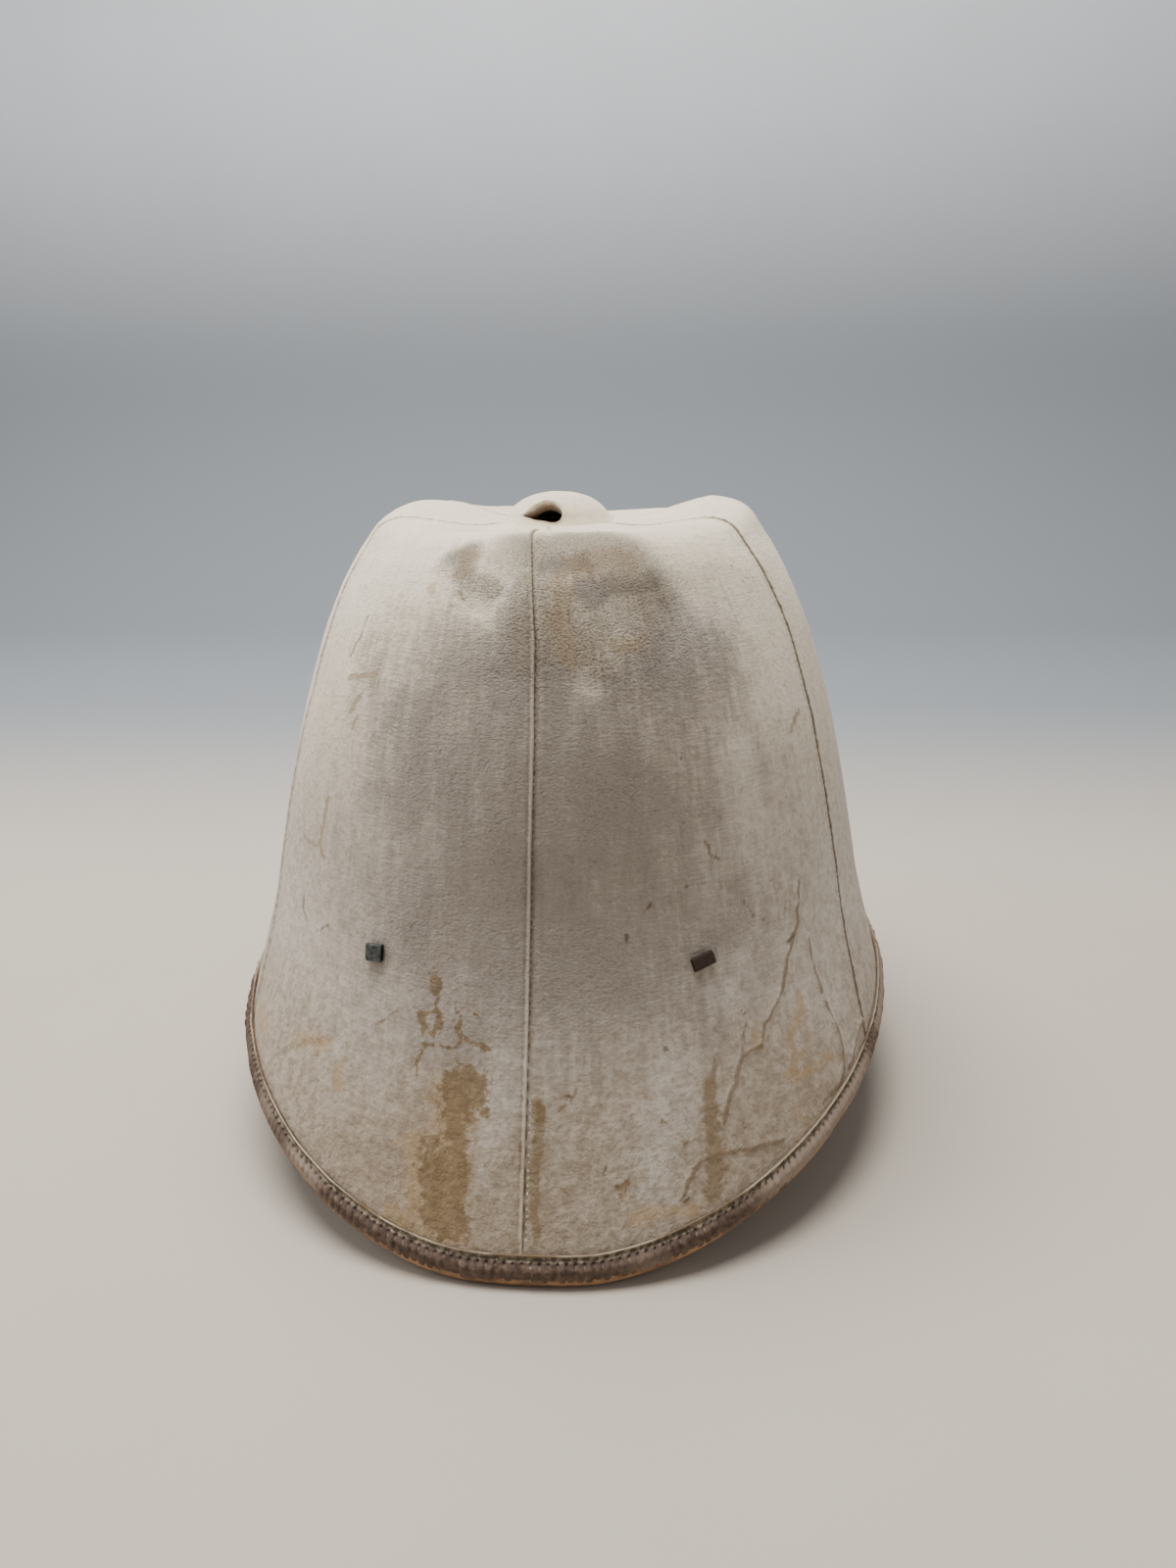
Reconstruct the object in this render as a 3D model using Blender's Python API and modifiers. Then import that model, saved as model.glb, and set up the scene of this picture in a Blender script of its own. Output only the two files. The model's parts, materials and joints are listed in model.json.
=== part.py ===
"""A pith sun helmet, resting on the tips of its two peaks.

A hollow pith shell is covered with six cotton panels, bound with leather round the rim, and crowned by a cloth
boss over the ventilator hole. Two small metal strap loops stand out of the rear panels at the headband line.
Units are metres, +Z is up, the rear peak points along -Y and the front peak along +Y.
"""

import math

import bmesh
import bpy
from mathutils import Matrix, Vector

# Plan and heights, measured from the edge of the peaks
BRIM_WIDTH = 0.2560
REAR_REACH = 0.1676
FRONT_REACH = 0.1676
SIDE_LIFT = 0.0368
BAND_HEIGHT = 0.099
BAND_WIDTH = 0.2275
BAND_REAR = 0.124
BAND_FRONT = 0.130
CROWN_HEIGHT = 0.119
CROWN_LEAN = 0.0015

# Layers of the wall
CLOTH_WALL = 0.001
PITH_WALL = 0.0042
LAYER_GAP = 0.0003
SEAM_GAP = 0.0005

# Leather binding round the rim
BINDING_WALL = 0.0012
BINDING_HEIGHT = 0.0098
BINDING_SWELL = 0.0009
RIM_INSET = 0.0026
REST_FLAT = 0.0004

# Cloth boss over the ventilator hole
VENT_RADIUS = 0.0095
BOSS_RADIUS = 0.0205
BOSS_HEIGHT = 0.0122
BOSS_WALL = 0.0024
BOSS_SIDEWAYS = 0.0018
MOUTH_WIDTH = 0.0146
MOUTH_HEIGHT = 0.0070
MOUTH_SIDEWAYS = 0.0042
MOUTH_RISE = 0.0022

# Metal strap loops just below the headband line
CLIP_DEPTH = 0.0018
CLIP_STRAP = 0.0005
CLIP_LEG_WIDTH = 0.0046
CLIP_LEG_THICK = 0.0009
CLIP_LEG_BEYOND = 0.0010

# Powers of the plan ovals: 2 is an ellipse, and more is squarer
CROWN_OVAL_POWER = 2.1
RIM_OVAL_POWER = 2.19

# The rim is level over this share of the half width at each peak, then sweeps up to the sides
RIM_LEVEL_SHARE = 0.12
RIM_SWEEP_POWER = 1.46

# Sections of the crown, top to bottom: rise is a share of CROWN_HEIGHT above the headband line, width a share of half
# BAND_WIDTH, rear and front shares of BAND_REAR and BAND_FRONT, and wave the share of the crest's wave it follows
SECTION_COLUMNS = ("name", "rise", "width", "rear", "front", "wave")
CROWN_SECTIONS = (
    ("dish", 0.975, 0.316, 0.323, 0.315, 0.45),
    ("crest", 1.000, 0.572, 0.532, 0.538, 1.00),
    ("shoulder", 0.924, 0.673, 0.669, 0.677, 0.45),
    ("upper", 0.739, 0.788, 0.790, 0.800, 0.00),
    ("middle", 0.504, 0.876, 0.887, 0.892, 0.00),
    ("lower", 0.252, 0.944, 0.952, 0.962, 0.00),
    ("band", 0.000, 1.000, 1.000, 1.000, 0.00),
)
# The seams wander round as they climb: degrees of turn at each control point from the boss's edge to the rim
SEAM_TURNS = (-4.6, -4.6, -4.2, -2.4, -0.7, -0.3, -0.4, -0.5, -0.6, -0.6)

# The flat top round the vent: the rise of both its rings, as a share of CROWN_HEIGHT
TOP_SHARE = 0.982
# Where the peak's hollow curve lies between the headband line and the rim: shares of the drop and of the reach
FLARE_DROP_SHARE = 0.37
FLARE_REACH_SHARE = 0.298

# The crest rises and falls round the crown: angle from the rear in degrees, and lift as a share of CROWN_HEIGHT
CREST_WAVE = (
    (-180, -0.040),
    (-150, -0.012),
    (-108, 0.036),
    (-80, 0.016),
    (-40, -0.009),
    (0, 0.000),
    (40, -0.009),
    (85, 0.030),
    (112, 0.036),
    (140, -0.020),
    (180, -0.040),
)

# Dents pressed into the crown: angle from the rear and spread in degrees, rise and tall as shares of CROWN_HEIGHT,
# depth as a share of half BAND_WIDTH
DENT_COLUMNS = ("angle", "spread", "rise", "tall", "depth")
DENTS = (
    (27, 15, 0.81, 0.09, 0.022),
    (-58, 16, 0.60, 0.22, 0.012),
    (140, 18, 0.86, 0.12, 0.020),
)

# Seams between the cotton panels: degrees from the rear, and columns of faces across each panel
REAR_SEAM_DEG = 64
FRONT_SEAM_DEG = 122
PANELS = (
    ("panel_rear_right", 0, REAR_SEAM_DEG, 10),
    ("panel_side_right", REAR_SEAM_DEG, FRONT_SEAM_DEG, 9),
    ("panel_front_right", FRONT_SEAM_DEG, 180, 9),
    ("panel_front_left", -180, -FRONT_SEAM_DEG, 9),
    ("panel_side_left", -FRONT_SEAM_DEG, -REAR_SEAM_DEG, 9),
    ("panel_rear_left", -REAR_SEAM_DEG, 0, 10),
)

# The two strap loops: degrees from the rear, drop below the headband line, tilt in degrees, and size
CLIP_COLUMNS = ("angle", "drop", "tilt", "width", "tall")
CLIP_LEFT = (-26.4, 0.0119, 2, 0.0064, 0.0060)
CLIP_RIGHT = (26.4, 0.0126, 18, 0.0078, 0.0046)

# Colour, roughness and metallic value of each material
COTTON = ("worn_cotton", (0.62, 0.58, 0.53), 0.9, 0.0)
PITH = ("pith", (0.58, 0.47, 0.33), 0.95, 0.0)
LEATHER = ("rim_leather", (0.24, 0.16, 0.13), 0.6, 0.0)
STEEL = ("dull_steel", (0.20, 0.20, 0.19), 0.45, 1.0)
RUST = ("rusty_steel", (0.13, 0.09, 0.06), 0.8, 0.6)

STEP = 1e-3


def signed_power(value, exponent):
    return math.copysign(abs(value) ** exponent, value)


def oval(angle, half_width, rear, front, height, squareness):
    """A point on a plan oval; angle 0 is the rear and a quarter turn is the +X side."""
    across = signed_power(math.sin(angle), 2 / squareness)
    along = signed_power(math.cos(angle), 2 / squareness)
    reach = rear if along > 0 else front
    return Vector((half_width * across, -reach * along, height))


def eased(share):
    return share * share * (3 - 2 * share)


def crest_wave(angle):
    """The crest's lift at an angle, eased between the rows of its table."""
    degrees = (math.degrees(angle) + 180) % 360 - 180
    for (low, low_lift), (high, high_lift) in zip(CREST_WAVE, CREST_WAVE[1:]):
        if low <= degrees <= high:
            share = eased((degrees - low) / (high - low))
            return CROWN_HEIGHT * (low_lift + (high_lift - low_lift) * share)
    return CROWN_HEIGHT * CREST_WAVE[-1][1]


def rim_height(angle):
    """The rim stays level at the peaks and sweeps up over the ears."""
    past = max(abs(math.sin(angle)) - RIM_LEVEL_SHARE, 0) / (1 - RIM_LEVEL_SHARE)
    return SIDE_LIFT * past**RIM_SWEEP_POWER


def control_points(angle):
    """The points that one meridian of the outer face passes through, from the vent's edge to the rim."""
    top = BAND_HEIGHT + TOP_SHARE * CROWN_HEIGHT
    vent = Vector((-BOSS_SIDEWAYS, 0, 0))
    points = [
        vent + oval(angle, radius, radius, radius, top, 2)
        for radius in (VENT_RADIUS, BOSS_RADIUS + LAYER_GAP)
    ]
    for row in CROWN_SECTIONS:
        section = dict(zip(SECTION_COLUMNS, row))
        height = BAND_HEIGHT + section["rise"] * CROWN_HEIGHT + section["wave"] * crest_wave(angle)
        half_width = section["width"] * BAND_WIDTH / 2
        rear = section["rear"] * BAND_REAR
        front = section["front"] * BAND_FRONT
        lean = Vector((CROWN_LEAN * section["rise"], 0, 0))
        points.append(lean + oval(angle, half_width, rear, front, height, CROWN_OVAL_POWER))
    rim = oval(angle, BRIM_WIDTH / 2, REAR_REACH, FRONT_REACH, rim_height(angle), RIM_OVAL_POWER)
    band = points[-1]
    flare = band.lerp(rim, FLARE_REACH_SHARE)
    flare.z = band.z + (rim.z - band.z) * FLARE_DROP_SHARE
    return points + [flare, rim]


def dent_depth(angle, height):
    """How far the dents press the wall in at a place on the crown."""
    depth = 0.0
    for row in DENTS:
        dent = dict(zip(DENT_COLUMNS, row))
        turn = (math.degrees(angle) - dent["angle"] + 180) % 360 - 180
        drop = (height - BAND_HEIGHT) / CROWN_HEIGHT - dent["rise"]
        away = (turn / dent["spread"]) ** 2 + (drop / dent["tall"]) ** 2
        depth += dent["depth"] * BAND_WIDTH / 2 * math.exp(-away)
    return depth


def outer_point(angle, place):
    """The outer face of the cloth. Place counts the control points from 0 at the vent's edge."""
    points = control_points(angle)
    points = [2 * points[0] - points[1], *points, 2 * points[-1] - points[-2]]
    span = min(max(int(place), 0), len(points) - 4)
    t = place - span
    before, start, end, after = points[span : span + 4]
    bend = (end - before) * t + (2 * before - 5 * start + 4 * end - after) * t**2
    bend += (3 * start - before - 3 * end + after) * t**3
    point = start + bend / 2
    inward = Vector((-point.x, -point.y, 0))
    clear_of_boss = min(max(inward.length / BOSS_RADIUS - 1.2, 0), 1)
    return point + inward.normalized() * dent_depth(angle, point.z) * clear_of_boss


def face_frame(angle, place):
    """Unit vectors at a place on the outer face: out of the wall, and down towards the rim."""
    around = outer_point(angle + STEP, place) - outer_point(angle - STEP, place)
    down = outer_point(angle, place + STEP) - outer_point(angle, place - STEP)
    return down.cross(around).normalized(), down.normalized()


def layer_point(angle, place, depth, last_place):
    """A point of a layer that lies depth inside the cloth's face; at the rim it stops short for the binding."""
    out, down = face_frame(angle, place)
    point = outer_point(angle, place) - out * depth
    if place == last_place:
        point = point - down * RIM_INSET
    return point


def section_places():
    """Places of the rows of faces, from the vent's edge to the rim: two rows where the wall bends sharply."""
    bends = ("dish", "crest", "shoulder", "band")
    rows = [1, 1, *(2 if row[0] in bends else 1 for row in CROWN_SECTIONS), 2]
    places = [span + step / count for span, count in enumerate(rows) for step in range(count)]
    return places + [len(rows)]


def panel_angles(start_deg, end_deg, columns, gap):
    """Angles across a panel; its two edges draw back by gap, an angle, for the seam."""
    start, end = math.radians(start_deg), math.radians(end_deg)
    angles = [start + (end - start) * step / columns for step in range(columns + 1)]
    return [start + gap, *angles[1:-1], end - gap]


def seam_turn(place):
    """The angle by which the seams have wandered round at a place, from the boss's edge to the rim."""
    span = min(int(place) - 1, len(SEAM_TURNS) - 2)
    share = place - 1 - span
    return math.radians(SEAM_TURNS[span] * (1 - share) + SEAM_TURNS[span + 1] * share)


def new_material(name, colour, roughness, metallic):
    material = bpy.data.materials.get(name) or bpy.data.materials.new(name)
    material.use_nodes = True
    shader = material.node_tree.nodes["Principled BSDF"]
    shader.inputs["Base Color"].default_value = (*colour, 1)
    shader.inputs["Roughness"].default_value = roughness
    shader.inputs["Metallic"].default_value = metallic
    return material


def new_object(name, mesh, material, parent):
    body = bpy.data.objects.new(name, mesh)
    mesh.materials.append(new_material(*material))
    parts.objects.link(body)
    body.parent = parent
    return body


def lofted_mesh(name, rings, closed_around, closed_along):
    """Faces between rings of points, each ring with as many points as the others."""
    mesh = bpy.data.meshes.new(name)
    shape = bmesh.new()
    grid = [[shape.verts.new(point) for point in ring] for ring in rings]
    ring_count, point_count = len(grid), len(grid[0])
    for i in range(ring_count if closed_along else ring_count - 1):
        for j in range(point_count if closed_around else point_count - 1):
            upper, lower = grid[i], grid[(i + 1) % ring_count]
            following = (j + 1) % point_count
            shape.faces.new((upper[j], lower[j], lower[following], upper[following]))
    shape.to_mesh(mesh)
    shape.free()
    return mesh


def thicken(body, thickness):
    """Solidify inward from the outer face."""
    solidify = body.modifiers.new("wall", "SOLIDIFY")
    solidify.thickness = thickness
    solidify.offset = -1
    body.data.shade_smooth()


def cut(body, cutter):
    boolean = body.modifiers.new("cut", "BOOLEAN")
    boolean.operation = "DIFFERENCE"
    boolean.object = cutter


def as_cutter(body, parent=None):
    """Cutters guide a cut and are left out of the model."""
    body.hide_render = True
    body.display_type = "WIRE"
    for collection in body.users_collection:
        collection.objects.unlink(body)
    cutters.objects.link(body)
    body.parent = parent
    return body


def mesh_of_curve(curve_body):
    """A closed mesh object made from a curve, with its caps welded; the curve is removed."""
    bpy.context.view_layer.update()
    evaluated = curve_body.evaluated_get(bpy.context.evaluated_depsgraph_get())
    mesh = bpy.data.meshes.new_from_object(evaluated)
    shape = bmesh.new()
    shape.from_mesh(mesh)
    bmesh.ops.remove_doubles(shape, verts=shape.verts, dist=1e-6)
    bmesh.ops.recalc_face_normals(shape, faces=shape.faces)
    shape.to_mesh(mesh)
    shape.free()
    body = bpy.data.objects.new(curve_body.name, mesh)
    body.matrix_world = curve_body.matrix_world
    bpy.data.objects.remove(curve_body)
    return body


def outline_curve(name, outlines, half_thickness):
    """A flat outline, with any holes as further outlines, extruded both ways."""
    curve = bpy.data.curves.new(name, "CURVE")
    curve.dimensions = "2D"
    curve.fill_mode = "BOTH"
    curve.extrude = half_thickness
    for outline in outlines:
        spline = curve.splines.new("POLY")
        spline.points.add(len(outline) - 1)
        for point, (x, y) in zip(spline.points, outline):
            point.co = (x, y, 0, 1)
        spline.use_cyclic_u = True
    body = bpy.data.objects.new(name, curve)
    bpy.context.scene.collection.objects.link(body)
    return body


def add_shell(parent):
    """The hollow pith shell, one cloth and a gap inside the outer face."""
    places = section_places()
    depth = CLOTH_WALL + LAYER_GAP
    angles = [angle for panel in PANELS for angle in panel_angles(*panel[1:], 0)[:-1]]
    rings = [[layer_point(angle, place, depth, places[-1]) for angle in angles] for place in places]
    shell = new_object("pith_shell", lofted_mesh("pith_shell", rings, True, False), PITH, parent)
    thicken(shell, PITH_WALL)
    return shell


def add_panel(name, start_deg, end_deg, columns, parent):
    """One cotton panel, from the foot of the boss down to the rim."""
    places = section_places()
    seam_places = [place for place in places if place >= 1]
    rings = []
    for place in seam_places:
        reach = outer_point(math.radians((start_deg + end_deg) / 2), place)
        gap = SEAM_GAP / 2 / math.hypot(reach.x, reach.y)
        angles = panel_angles(start_deg, end_deg, columns, gap)
        turn = seam_turn(place)
        rings.append([layer_point(angle + turn, place, 0, places[-1]) for angle in angles])
    panel = new_object(name, lofted_mesh(name, rings, False, False), COTTON, parent)
    thicken(panel, CLOTH_WALL)
    return panel


def binding_profile():
    """The binding's section as (out of the wall, down past the rim): a channel with a rounded foot."""
    stack = CLOTH_WALL + LAYER_GAP + PITH_WALL
    radius = stack / 2 + LAYER_GAP + BINDING_WALL
    outer, inner = LAYER_GAP + BINDING_WALL, -stack - LAYER_GAP - BINDING_WALL
    side = BINDING_HEIGHT - radius
    profile = [(LAYER_GAP, -BINDING_HEIGHT), (outer, -BINDING_HEIGHT)]
    profile += [(outer, -radius - 0.66 * side), (outer + BINDING_SWELL, -radius - 0.30 * side)]
    for step in range(7):
        turn = math.pi * step / 6
        profile.append((-stack / 2 + radius * math.cos(turn), -radius + radius * math.sin(turn)))
    floor = LAYER_GAP - RIM_INSET
    profile += [(inner, -BINDING_HEIGHT), (-stack - LAYER_GAP, -BINDING_HEIGHT)]
    return profile + [(-stack - LAYER_GAP, floor), (LAYER_GAP, floor)]


def add_binding(parent):
    """The leather strip folded round the edge of the shell and panels."""
    rim_place = section_places()[-1]
    rings = []
    for panel in PANELS:
        for angle in panel_angles(*panel[1:], 0)[:-1]:
            out, down = face_frame(angle, rim_place)
            rim = outer_point(angle, rim_place)
            rings.append([rim + out * over + down * past for over, past in binding_profile()])
    binding = new_object("rim_binding", lofted_mesh("rim_binding", rings, True, True), LEATHER, parent)
    binding.data.flip_normals()
    return binding


def stand_on_table(helmet, binding):
    """Lowers the helmet until the worn foot of its rim is level with the table, and trims that foot flat."""
    lowest = min(vertex.co.z for vertex in binding.data.vertices)
    reach = [vertex.co.y for vertex in binding.data.vertices]
    helmet.location = (0, -(min(reach) + max(reach)) / 2, -lowest - REST_FLAT)
    bpy.ops.mesh.primitive_cube_add(size=1)
    table = bpy.context.object
    table.name = "table_cutter"
    table.data.transform(Matrix.Translation((0, 0, -0.5)))
    cut(binding, as_cutter(table))


def dome_arc(radius, height, steps, downward):
    """Points of a quarter oval in the XZ plane, from the axis to the foot or back."""
    turns = [math.pi / 2 * step / steps for step in range(steps + 1)]
    points = [(radius * math.sin(turn), height * math.cos(turn)) for turn in turns]
    return points if downward else points[::-1]


def add_boss(parent):
    """The domed cloth boss on the crown, with the torn mouth of the ventilator hole in its rear left side."""
    top = BAND_HEIGHT + TOP_SHARE * CROWN_HEIGHT
    outer = dome_arc(BOSS_RADIUS, BOSS_HEIGHT, 8, True)
    inner = dome_arc(BOSS_RADIUS - BOSS_WALL, BOSS_HEIGHT - BOSS_WALL, 6, False)
    mesh = bpy.data.meshes.new("vent_boss")
    shape = bmesh.new()
    points = [shape.verts.new((x, 0, z)) for x, z in outer + inner]
    for first, second in zip(points, points[1:]):
        shape.edges.new((first, second))
    shape.to_mesh(mesh)
    shape.free()
    boss = new_object("vent_boss", mesh, COTTON, parent)
    boss.location = (-BOSS_SIDEWAYS, 0, top - CLOTH_WALL)
    screw = boss.modifiers.new("turn", "SCREW")
    screw.steps = screw.render_steps = 24
    screw.use_merge_vertices = True
    screw.merge_threshold = 1e-5
    cut(boss, mouth_cutter(parent, boss.location))
    return boss


def mouth_cutter(parent, foot):
    """The mouth's outline, seen from the rear: a point at the left, a drooping lower lip and a round top."""
    left = (-MOUTH_WIDTH / 2, 0.26 * MOUTH_HEIGHT)
    lip = [(-0.04 * MOUTH_WIDTH, 0.10 * MOUTH_HEIGHT), (0.46 * MOUTH_WIDTH, 0)]
    arch = []
    for step in range(9):
        turn = math.pi * 0.86 * step / 8
        across = 0.12 + 0.38 * math.cos(turn)
        arch.append((across * MOUTH_WIDTH, (0.40 + 0.60 * math.sin(turn)) * MOUTH_HEIGHT))
    cutter = mesh_of_curve(outline_curve("mouth_cutter", [[left, *lip, *arch]], BOSS_RADIUS / 2))
    upright = Matrix.Rotation(math.pi / 2, 4, "X")
    centre = Vector((BOSS_SIDEWAYS - MOUTH_SIDEWAYS, -BOSS_RADIUS * 0.70, MOUTH_RISE))
    cutter.data.transform(Matrix.Translation(foot + centre) @ upright)
    cutters.objects.link(cutter)
    return as_cutter(cutter, parent)


def place_at_height(angle, height):
    """The place on a meridian, below the crest, where the outer face has this height."""
    low, high = 4.0, section_places()[-1]
    for _ in range(40):
        middle = (low + high) / 2
        if outer_point(angle, middle).z > height:
            low = middle
        else:
            high = middle
    return low


def clip_matrix(angle, drop, tilt):
    """A frame on the outer face: X across, Y up the wall, Z out of it."""
    place = place_at_height(angle, BAND_HEIGHT - drop)
    out, down = face_frame(angle, place)
    across = out.cross(down).normalized()
    turn = Matrix((across, -down, out)).transposed().to_4x4()
    return Matrix.Translation(outer_point(angle, place)) @ turn @ Matrix.Rotation(tilt, 4, "Z")


def rounded_box(width, height, radius):
    """The outline of a box with round corners, about its centre."""
    outline = []
    for corner, (right, upper) in enumerate(((1, 1), (-1, 1), (-1, -1), (1, -1))):
        for step in range(4):
            turn = math.pi / 2 * (corner + step / 3)
            x = right * (width / 2 - radius) + radius * math.cos(turn)
            y = upper * (height / 2 - radius) + radius * math.sin(turn)
            outline.append((x, y))
    return outline


def box_between(name, low, high):
    bpy.ops.mesh.primitive_cube_add(size=1)
    body = bpy.context.object
    body.name = name
    middle = (Vector(low) + Vector(high)) / 2
    size = Vector(high) - Vector(low)
    body.data.transform(Matrix.Translation(middle) @ Matrix.Diagonal((*size, 1)))
    return body


def add_clip(name, row, material, walls, parent):
    """A flattened loop of metal strap on the cloth, on a plain leg that passes through the wall."""
    size = dict(zip(CLIP_COLUMNS, row))
    tall = size["tall"]
    loop = rounded_box(CLIP_DEPTH, tall, CLIP_DEPTH * 0.45)
    slot = rounded_box(CLIP_DEPTH - 2 * CLIP_STRAP, tall - 2 * CLIP_STRAP, CLIP_DEPTH * 0.18)
    body = mesh_of_curve(outline_curve(name, [loop, slot], size["width"] / 2))
    seat = CLIP_DEPTH / 2 + LAYER_GAP
    stand = Matrix.Translation((0, 0, seat)) @ Matrix.Rotation(math.pi / 2, 4, "Y")
    body.data.transform(stand)
    wall = CLOTH_WALL + LAYER_GAP + PITH_WALL
    half_width, half_thick = CLIP_LEG_WIDTH / 2, CLIP_LEG_THICK / 2
    leg = box_between(
        name + "_leg",
        (-half_width, -half_thick, -wall - CLIP_LEG_BEYOND),
        (half_width, half_thick, LAYER_GAP + CLIP_STRAP * 0.6),
    )
    slit = box_between(
        name + "_slit",
        (-half_width - LAYER_GAP, -half_thick - LAYER_GAP, -wall - 2 * CLIP_DEPTH),
        (half_width + LAYER_GAP, half_thick + LAYER_GAP, 2 * CLIP_DEPTH),
    )
    matrix = clip_matrix(math.radians(size["angle"]), size["drop"], math.radians(size["tilt"]))
    for shape in (body, leg, slit):
        shape.data.transform(matrix)
    clip = new_object(name, body.data, material, parent)
    bpy.data.objects.remove(body)
    clip.name = name
    join = clip.modifiers.new("leg", "BOOLEAN")
    join.operation = "UNION"
    join.object = as_cutter(leg, parent)
    slit = as_cutter(slit, parent)
    for wall_body in walls:
        cut(wall_body, slit)
    return clip


for old in list(bpy.data.objects):
    bpy.data.objects.remove(old)

parts = bpy.data.collections.new("pith_helmet")
cutters = bpy.data.collections.new("cutters")
bpy.context.scene.collection.children.link(parts)
bpy.context.scene.collection.children.link(cutters)

helmet = bpy.data.objects.new("helmet", None)
parts.objects.link(helmet)

shell = add_shell(helmet)
panels = {name: add_panel(name, start, end, columns, helmet) for name, start, end, columns in PANELS}
binding = add_binding(helmet)
stand_on_table(helmet, binding)
add_boss(helmet)
add_clip("clip_left", CLIP_LEFT, STEEL, (shell, panels["panel_rear_left"]), helmet)
add_clip("clip_right", CLIP_RIGHT, RUST, (shell, panels["panel_rear_right"]), helmet)
bpy.context.view_layer.update()
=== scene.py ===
# %% [markdown]
# # A worn pith sun helmet
# This helmet is a hollow bell of pith, covered with six cotton panels, bound with leather round the rim
# and crowned by a small cloth boss over its vent hole. It is seen from the rear, standing on the tips of
# its two peaks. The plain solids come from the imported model. This file dresses each of them in a piece
# with real cloth, leather, stitching and wear, and never moves them.

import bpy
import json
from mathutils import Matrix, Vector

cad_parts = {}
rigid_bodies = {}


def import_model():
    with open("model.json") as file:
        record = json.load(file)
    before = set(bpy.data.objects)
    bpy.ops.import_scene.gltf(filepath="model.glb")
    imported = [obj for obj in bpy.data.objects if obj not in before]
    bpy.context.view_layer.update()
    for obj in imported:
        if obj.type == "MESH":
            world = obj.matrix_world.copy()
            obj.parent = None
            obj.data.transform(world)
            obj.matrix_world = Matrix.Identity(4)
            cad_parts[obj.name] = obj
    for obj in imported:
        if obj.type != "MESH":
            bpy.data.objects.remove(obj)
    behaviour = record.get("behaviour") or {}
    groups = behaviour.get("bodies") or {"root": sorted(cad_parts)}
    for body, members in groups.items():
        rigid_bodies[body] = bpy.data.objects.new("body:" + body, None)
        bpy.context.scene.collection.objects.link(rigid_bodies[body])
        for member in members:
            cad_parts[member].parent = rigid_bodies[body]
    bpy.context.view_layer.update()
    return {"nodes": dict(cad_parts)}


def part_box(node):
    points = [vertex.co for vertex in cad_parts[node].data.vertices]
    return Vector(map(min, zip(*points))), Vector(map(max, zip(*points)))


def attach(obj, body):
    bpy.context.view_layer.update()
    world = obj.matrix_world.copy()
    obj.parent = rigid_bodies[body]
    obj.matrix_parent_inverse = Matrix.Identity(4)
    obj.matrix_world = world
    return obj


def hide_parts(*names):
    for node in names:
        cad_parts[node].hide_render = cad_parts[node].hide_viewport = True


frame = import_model()
print("solids:", ", ".join(sorted(frame["nodes"])))

# %% Bring in the tools
import itertools
import json
import math

import bmesh
import bpy
import numpy as np
from mathutils import Matrix, Vector

MM = 0.001

# %% [markdown]
# ## Camera
# The photograph was taken with a phone held about half a metre behind the helmet and a little above it.
# Where the camera stood was worked out from the helmet's outline. A camera's matrix can be written
# straight from three directions: right, up and backwards. That keeps the small sideways tilt that a
# tracking constraint would lose.

# %% Place the camera
CAMERA_DISTANCE = 0.465
CAMERA_HEIGHT = 0.2593
CAMERA_BEARING = math.radians(5.75)
LOOK_BEARING = math.radians(4.77)
LOOK_DOWN = math.radians(17.81)
CAMERA_ROLL = math.radians(-1.04)
LENS_MM = 27.05

camera_data = bpy.data.cameras.new("camera")
camera_data.lens = LENS_MM
camera_data.sensor_width = 36
camera = bpy.data.objects.new("camera", camera_data)
bpy.context.scene.collection.objects.link(camera)
bpy.context.scene.camera = camera

forward = Vector(
    (
        -math.sin(LOOK_BEARING) * math.cos(LOOK_DOWN),
        math.cos(LOOK_BEARING) * math.cos(LOOK_DOWN),
        -math.sin(LOOK_DOWN),
    )
)
right = forward.cross(Vector((0, 0, 1))).normalized()
turned = Matrix.Rotation(CAMERA_ROLL, 3, -forward)
right = turned @ right
up = right.cross(forward)
stand = Matrix((right, up, -forward)).transposed().to_4x4()
stand.translation = (
    CAMERA_DISTANCE * math.sin(CAMERA_BEARING),
    -CAMERA_DISTANCE * math.cos(CAMERA_BEARING),
    CAMERA_HEIGHT,
)
camera.matrix_world = stand
print("camera at", [round(value, 3) for value in camera.location])

# %% [markdown]
# ## Node helpers
# A finish in Blender is a small network of nodes. A few helpers keep the networks short to read. Each
# adds one node, fills in its sockets with numbers or with the outputs of other nodes, and hands back the
# output that matters.

# %% Node helpers
def paint(red, green, blue):
    """A colour given as screen values from 0 to 255, in the linear values that shaders use."""
    colour = []
    for value in (red, green, blue):
        part = value / 255
        # A screen's own curve: straight near black and a power above it
        colour.append(part / 12.92 if part <= 0.04045 else ((part + 0.055) / 1.055) ** 2.4)
    return (*colour, 1)


def fill(tree, socket, value):
    """Joins a socket to another node's output, or sets its number or colour."""
    if isinstance(value, bpy.types.NodeSocket):
        tree.links.new(value, socket)
    else:
        socket.default_value = value


def sums(tree, how, first, second=0.0):
    """One step of arithmetic, such as ADD or MULTIPLY."""
    made = tree.nodes.new("ShaderNodeMath")
    made.operation = how
    fill(tree, made.inputs[0], first)
    fill(tree, made.inputs[1], second)
    return made.outputs[0]


def soft_step(tree, value, low, high, start=0.0, end=1.0):
    """Rises smoothly from start to end as the value goes from low to high."""
    made = tree.nodes.new("ShaderNodeMapRange")
    made.interpolation_type = "SMOOTHSTEP"
    for index, item in enumerate((value, low, high, start, end)):
        fill(tree, made.inputs[index], item)
    return made.outputs[0]


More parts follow.
